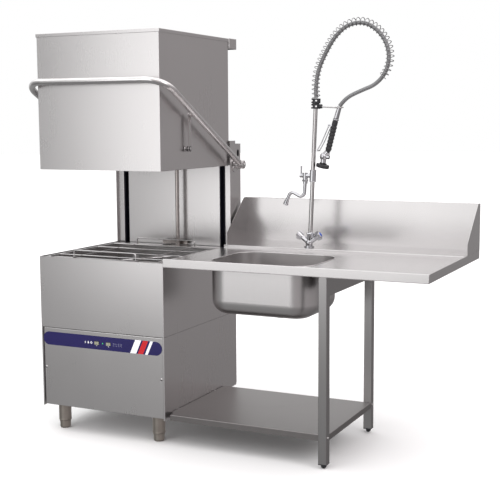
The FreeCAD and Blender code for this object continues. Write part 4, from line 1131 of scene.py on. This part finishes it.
class DISHWASHER_OT_gun_fittings(bpy.types.Operator):
    """Nozzles, collars and pivot screws of the spray gun"""
    bl_idname = "dishwasher.gun_fittings"
    bl_label = "Gun fittings"

    def execute(self, context):
        colours = context.scene.dishwasher_colours
        count = context.scene.dishwasher_sizes.nozzles
        rubber = grip_rubber(colours)
        chrome = chrome_plate(colours)
        mouth = Vector((HOSE_POINTS[-1][0], HOSE_Y, HOSE_POINTS[-1][1]))
        grip_top = mouth + Vector((-0.023, 0, -0.075))
        down = (grip_top - mouth).normalized()
        handle = Vector((-0.037, 0, -0.142)).normalized()

        def nozzles(bm):
            spray = Vector((-0.23, 0, -0.973)).normalized()
            side = Y.cross(spray).normalized()
            low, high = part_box("spray_head")
            centre = Vector(((low.x + high.x) / 2 - 0.0015, HOSE_Y, low.z + 0.0095))
            for radius, holes in ((0.024, count), (0.015, count // 2), (0.007, 6)):
                for step in range(holes):
                    turn = 2 * math.pi * step / holes
                    place = centre + side * radius * math.cos(turn) + Y * radius * math.sin(turn)
                    bar(bm, place - spray * 0.001, place + spray * 0.0032, 0.0017, 0.0011, 10)

        def collars(bm):
            collar(bm, mouth + down * 0.063, down, 0.0112, 0.0146, 0.006, (0.0008, 0.0012))
            collar(bm, mouth + down * 0.0035, down, 0.0101, 0.0122, 0.004, (0.0004, 0.001))

        def grip_ribs(bm):
            bore, valley, ridge = 0.0112, 0.0126, 0.0143
            profile = [(bore, 0.018), (valley, 0.018)]
            for step in range(7):
                rib = 0.0195 + step * 0.0172
                profile += [(valley, rib), (ridge, rib + 0.004), (ridge + 0.0005, rib + 0.0075),
                            (ridge, rib + 0.011), (valley, rib + 0.015)]
            ring(bm, [*profile, (valley, 0.141), (bore, 0.141)], grip_top, handle, 40)

        def pivot_screws(bm):
            for way in (Y, -Y):
                turned(bm, [(0, 0.0022), (0.0018, 0.0022), (0.0042, 0.0010), (0.0046, 0), (0, 0)],
                       joint_place("trigger_squeeze") + way * 0.0188, way)

        def sleeve(bm):
            ring(bm, [(0.0103, 0.004), (0.0108, 0.004), (0.0124, 0.060), (0.0119, 0.060)], mouth, down)

        make_piece("head_nozzles", nozzles, MACHINE, rubber)
        make_piece("grip_ribs", grip_ribs, MACHINE, rubber, angle=60)
        make_piece("gun_collars", collars, MACHINE, chrome)
        make_piece("gun_sleeve", sleeve, MACHINE, chrome)
        make_piece("trigger_screws", pivot_screws, "trigger", chrome)
        return {"FINISHED"}


# ---- sink, table and tank

def rounded_loop(low, high, radius, z, steps):
    """Points of a rectangle with round corners."""
    points = []
    corners = ((high.x - radius, high.y - radius, 0), (low.x + radius, high.y - radius, 90),
               (low.x + radius, low.y + radius, 180), (high.x - radius, low.y + radius, 270))
    for x, y, first in corners:
        for step in range(steps + 1):
            turn = math.radians(first + 90 * step / steps)
            points.append(Vector((x + radius * math.cos(turn), y + radius * math.sin(turn), z)))
    return points


class DISHWASHER_OT_sink_fittings(bpy.types.Operator):
    """Pressed rim and strainer ring of the sink"""
    bl_idname = "dishwasher.sink_fittings"
    bl_label = "Sink fittings"

    def execute(self, context):
        steel = polished_steel(context.scene.dishwasher_colours)
        low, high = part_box("sink_bowl")
        rim = rounded_loop(low, high, 0.100, high.z + 0.0004, 16)
        wire_piece("sink_rim", rim, 0.0044, MACHINE, steel, (), 3, True)
        waste_low, waste_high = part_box("sink_waste")
        drain = Vector(((waste_low.x + waste_high.x) / 2, (waste_low.y + waste_high.y) / 2, waste_high.z))

        def strainer(bm):
            ring(bm, [(0.030, -0.001), (0.0435, -0.001), (0.0425, 0.0008), (0.036, 0.0016), (0.031, 0.0010)],
                 drain, Z, 48)
            turned(bm, [(0, 0.0012), (0.0035, 0.0010), (0.005, 0), (0, 0)], drain, Z, 20)

        make_piece("sink_strainer", strainer, MACHINE, steel)
        return {"FINISHED"}


class DISHWASHER_OT_frame_fixings(bpy.types.Operator):
    """Bolts and weld beads of the legs and the shelf"""
    bl_idname = "dishwasher.frame_fixings"
    bl_label = "Frame fixings"

    def execute(self, context):
        colours = context.scene.dishwasher_colours
        steel = polished_steel(colours)
        frame_low, frame_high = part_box("table_frame")
        shelf_low, shelf_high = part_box("table_shelf")
        leg, rail = 0.038, 0.110

        def bolts(bm):
            for y in (frame_low.y + leg / 2, frame_high.y - leg / 2):
                start = Vector((frame_high.x, y, shelf_low.z + 0.013))
                washer(bm, start - X * 0.0004, X, 0.003, 0.0072, 0.0012)
                turned(bm, [(0, 0.0042), (0.0022, 0.0042), (0.0048, 0.0034), (0.0058, 0.0012), (0.0058, 0),
                            (0, 0)], start, X, 24)

        def welds(bm):
            rail_foot = frame_high.z - rail
            for y in (frame_low.y + leg + 0.0006, frame_high.y - leg - 0.0006):
                for step in range(16):
                    centre = Vector((frame_high.x - 0.0088, y, rail_foot + 0.004 + step * 0.0064))
                    blob(bm, centre, 0.0026, (0.7, 0.55, 1.25))

        def shelf_fixings(bm):
            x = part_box("lower_side_panels")[1].x + 0.010
            for y in (shelf_low.y + 0.094, shelf_low.y + 0.464):
                hexagon(bm, Vector((x, y, shelf_high.z)), Z, 0.010, 0.004)

        make_piece("leg_bolts", bolts, MACHINE, steel)
        make_piece("rail_welds", welds, MACHINE, inner_steel(colours), angle=70)
        make_piece("shelf_bolts", shelf_fixings, MACHINE, steel)
        return {"FINISHED"}


class DISHWASHER_OT_tank_fittings(bpy.types.Operator):
    """Handles, jets and nuts in the tank and the arms"""
    bl_idname = "dishwasher.tank_fittings"
    bl_label = "Tank fittings"

    def execute(self, context):
        steel = polished_steel(context.scene.dishwasher_colours)
        centre = joint_place("lower_wash_spin")

        def filter_handle(name, x, z):
            outline = ((-0.045, 0), (-0.045, 0.024), (-0.038, 0.031), (0.038, 0.031), (0.045, 0.024),
                       (0.045, 0))
            points = [Vector((x, centre.y + across, z + rise)) for across, rise in outline]
            wire_piece(name, points, 0.005, MACHINE, steel)

        def arm_nut(arm, up):
            low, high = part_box(arm + "_arm")
            place = joint_place(arm + "_spin")
            start = Vector((place.x, place.y, high.z if up > 0 else low.z))

            def build(bm):
                ring(bm, [(0.0108, -0.0008), (0.0165, -0.0008), (0.0185, 0.0006), (0.0185, 0.0030),
                          (0.0165, 0.0038), (0.0108, 0.0038)], start, Z * up, 12)
            make_piece(arm + "_arm_ring", build, arm, steel, angle=20)

        def jets(arm, up):
            low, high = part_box(arm + "_arm")
            place = joint_place(arm + "_spin")
            z = (low.z + 0.026 if up > 0 else high.z - 0.026) - up * 0.0006

            def build(bm):
                for reach in range(60, 240, 42):
                    for way in (-1, 1):
                        ring(bm, [(0.0026, 0.0004), (0.0058, 0.0004), (0.0050, 0.0016), (0.0026, 0.0016)],
                             Vector((place.x + way * reach * MM, place.y, z)), Z * up, 20)
            make_piece(arm + "_arm_jets", build, arm, steel)

        def grid_welds(bm):
            low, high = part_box("rack_guide")
            for x in (low.x + 0.006, low.x + 0.134, low.x + 0.474, high.x - 0.006):
                for y in (-0.223, -0.070, 0.100, 0.253):
                    blob(bm, Vector((x, centre.y + y, low.z + 0.003)), 0.0042, (1.0, 1.0, 0.72))

        low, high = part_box("tank_filters")
        for letter, edge in (("a", low), ("b", high)):
            filter_handle("filter_handle_" + letter, (edge.x * 3 + centre.x) / 4, high.z - 0.016)
        arm_nut("lower_rinse", -1)
        arm_nut("upper_rinse", 1)
        jets("lower_wash", 1)
        jets("upper_wash", -1)
        make_piece("grid_welds", grid_welds, MACHINE, steel, angle=70)
        return {"FINISHED"}


# ---- service side

def mount_place(name):
    return Vector(next(mount["pos_m"] for mount in frame["record"]["mounts"] if mount["name"] == name))


def domed_screw(bm, start, way, radius=0.005):
    turned(bm, [(0, 0.0022), (0.002, 0.0021), (0.004, 0.0012), (radius, 0), (radius, -0.0005), (0, -0.0005)],
           start, way, 20)


class DISHWASHER_OT_service_fittings(bpy.types.Operator):
    """Louvres, screws and nuts on the rear, motor fins and panel screws; black strips and crosses paint the
    shade in the louvre openings and screw slots
    """
    bl_idname = "dishwasher.service_fittings"
    bl_label = "Service fittings"

    def execute(self, context):
        colours = context.scene.dishwasher_colours
        cover_low, cover_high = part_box("rear_covers")
        case_low, case_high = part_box("upper_casing")
        rear = case_high.y
        middle = middle_x()
        louvre_places = [Vector((middle + bank, rear, case_low.z - 0.06 - step * 0.017))
                         for bank in (-0.11, 0.11) for step in range(context.scene.dishwasher_sizes.louvres)]

        def louvres(bm):
            for place in louvre_places:
                verts = block(bm, place - Vector((0.05, 0.0008, 0.0045)),
                              place + Vector((0.05, 0.0032, 0.0045)), 0.0011)
                for vert in verts:
                    if vert.co.z > place.z + 0.002:
                        vert.co.y = min(vert.co.y, rear + 0.0004)

        def louvre_gap_shade(bm):
            # A black strip under each louvre paints the shade in its opening.
            for place in louvre_places:
                block(bm, place - Vector((0.047, 0.0004, 0.0054)), place + Vector((0.047, 0.0026, -0.0044)))

        def screws(bm):
            for x in (cover_low.x + 0.02, middle, cover_high.x - 0.02):
                for z in (cover_low.z + 0.02, case_low.z - 0.022):
                    domed_screw(bm, Vector((x, rear, z)), Y)
            for x in (cover_low.x + 0.060, cover_high.x - 0.060):
                for z in (cover_high.z - 0.03, cover_high.z - 0.40, cover_high.z - 0.78):
                    domed_screw(bm, Vector((x, cover_high.y, z)), Y)

        def nuts(bm):
            inlet = mount_place("water_inlet")
            gland = mount_place("cable_entry")
            hexagon(bm, Vector((inlet.x, rear + 0.0004, inlet.z)), Y, 0.036, 0.007)
            washer(bm, Vector((gland.x, rear + 0.0002, gland.z)), Y, 0.0135, 0.0205, 0.0015)
            for step in range(3):
                bead(bm, inlet + Y * (0.004 + 0.005 * step), Y, 0.0132, 0.0009)

        def fins(bm):
            low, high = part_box("wash_pump")
            for step in range(14):
                start = Vector((low.x + 0.075 + step * 0.0125, low.y + 0.078, high.z - 0.078))
                collar(bm, start, X, 0.0615, 0.0665, 0.0026, (0.005, 0.0006), 40)

        def slot_shade(bm):
            # Black crosses on the panel screws paint the shade in their slots.
            low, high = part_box("panel_screws")
            for x in (low.x + 0.0057, high.x - 0.0057):
                start = Vector((x, low.y + 0.0002, (low.z + high.z) / 2))
                for reach in (Vector((0.0042, 0.0006, 0.0005)), Vector((0.0005, 0.0006, 0.0042))):
                    block(bm, start - reach, start + reach)

        for name, build, material, slot in (
                ("rear_louvres", louvres, upright_steel, "satin_stainless"),
                ("louvre_gap_shade", louvre_gap_shade, black_moulding_and_painted_shade, "black_plastic"),
                ("rear_screws", screws, polished_steel, "polished_stainless"),
                ("rear_nuts", nuts, machined_brass, "brass"),
                ("motor_fins", fins, cast_alloy, "motor_alloy"),
                ("screw_slot_shade", slot_shade, black_moulding_and_painted_shade, "black_plastic")):
            make_piece(name, build, MACHINE, material(colours))
        return {"FINISHED"}


class DISHWASHER_OT_feet(bpy.types.Operator):
    """Grooved rings and rubber soles of the machine's feet"""
    bl_idname = "dishwasher.feet"
    bl_label = "Feet"

    def execute(self, context):
        colours = context.scene.dishwasher_colours
        low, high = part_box("foot_pads")
        reach = 0.026
        places = [Vector((x, y, 0)) for x in (low.x + reach, high.x - reach)
                  for y in (low.y + reach, high.y - reach)]

        def rings(bm):
            for place in places:
                for z in (0.0415, 0.0455):
                    bead(bm, place + Z * z, Z, 0.0297, 0.0010, 48)
                ring(bm, [(0.0262, 0.030), (0.0276, 0.031), (0.0276, 0.0375), (0.0262, 0.0385)], place, Z, 48)

        def soles(bm):
            for place in places:
                turned(bm, [(0, 0.0002), (0.0168, 0.0002), (0.0172, 0.0016), (0, 0.0016)], place, Z, 40)

        make_piece("foot_rings", rings, MACHINE, foot_steel(colours), angle=50)
        make_piece("foot_soles", soles, MACHINE, grip_rubber(colours))
        return {"FINISHED"}


# ---- panel and registration

OPERATORS = (DISHWASHER_OT_stage, DISHWASHER_OT_spray_hose, DISHWASHER_OT_finishes, DISHWASHER_OT_sheets,
             DISHWASHER_OT_control_print, DISHWASHER_OT_lever_fittings, DISHWASHER_OT_tap_fittings,
             DISHWASHER_OT_gun_fittings, DISHWASHER_OT_sink_fittings, DISHWASHER_OT_frame_fixings,
             DISHWASHER_OT_tank_fittings, DISHWASHER_OT_service_fittings, DISHWASHER_OT_feet)


class DISHWASHER_PT_panel(bpy.types.Panel):
    """Sizes, colours and pieces of the dishwasher"""
    bl_idname = "DISHWASHER_PT_panel"
    bl_label = "Dishwasher"
    bl_space_type = "VIEW_3D"
    bl_region_type = "UI"
    bl_category = "Dishwasher"

    def draw(self, context):
        layout = self.layout
        for settings in (context.scene.dishwasher_sizes, context.scene.dishwasher_colours):
            column = layout.column(align=True)
            for name in settings.__annotations__:
                column.prop(settings, name)
        column = layout.column(align=True)
        for operator in OPERATORS:
            column.operator(operator.bl_idname)


CLASSES = (DishwasherSizes, DishwasherColours, *OPERATORS, DISHWASHER_PT_panel)


def register():
    for kind in CLASSES:
        bpy.utils.register_class(kind)
    bpy.types.Scene.dishwasher_sizes = PointerProperty(type=DishwasherSizes)
    bpy.types.Scene.dishwasher_colours = PointerProperty(type=DishwasherColours)


def unregister():
    del bpy.types.Scene.dishwasher_colours
    del bpy.types.Scene.dishwasher_sizes
    for kind in reversed(CLASSES):
        bpy.utils.unregister_class(kind)


def main():
    register()
    for name in (operator.bl_idname.split(".")[1] for operator in OPERATORS):
        getattr(bpy.ops.dishwasher, name)()


if __name__ == "__main__":
    main()
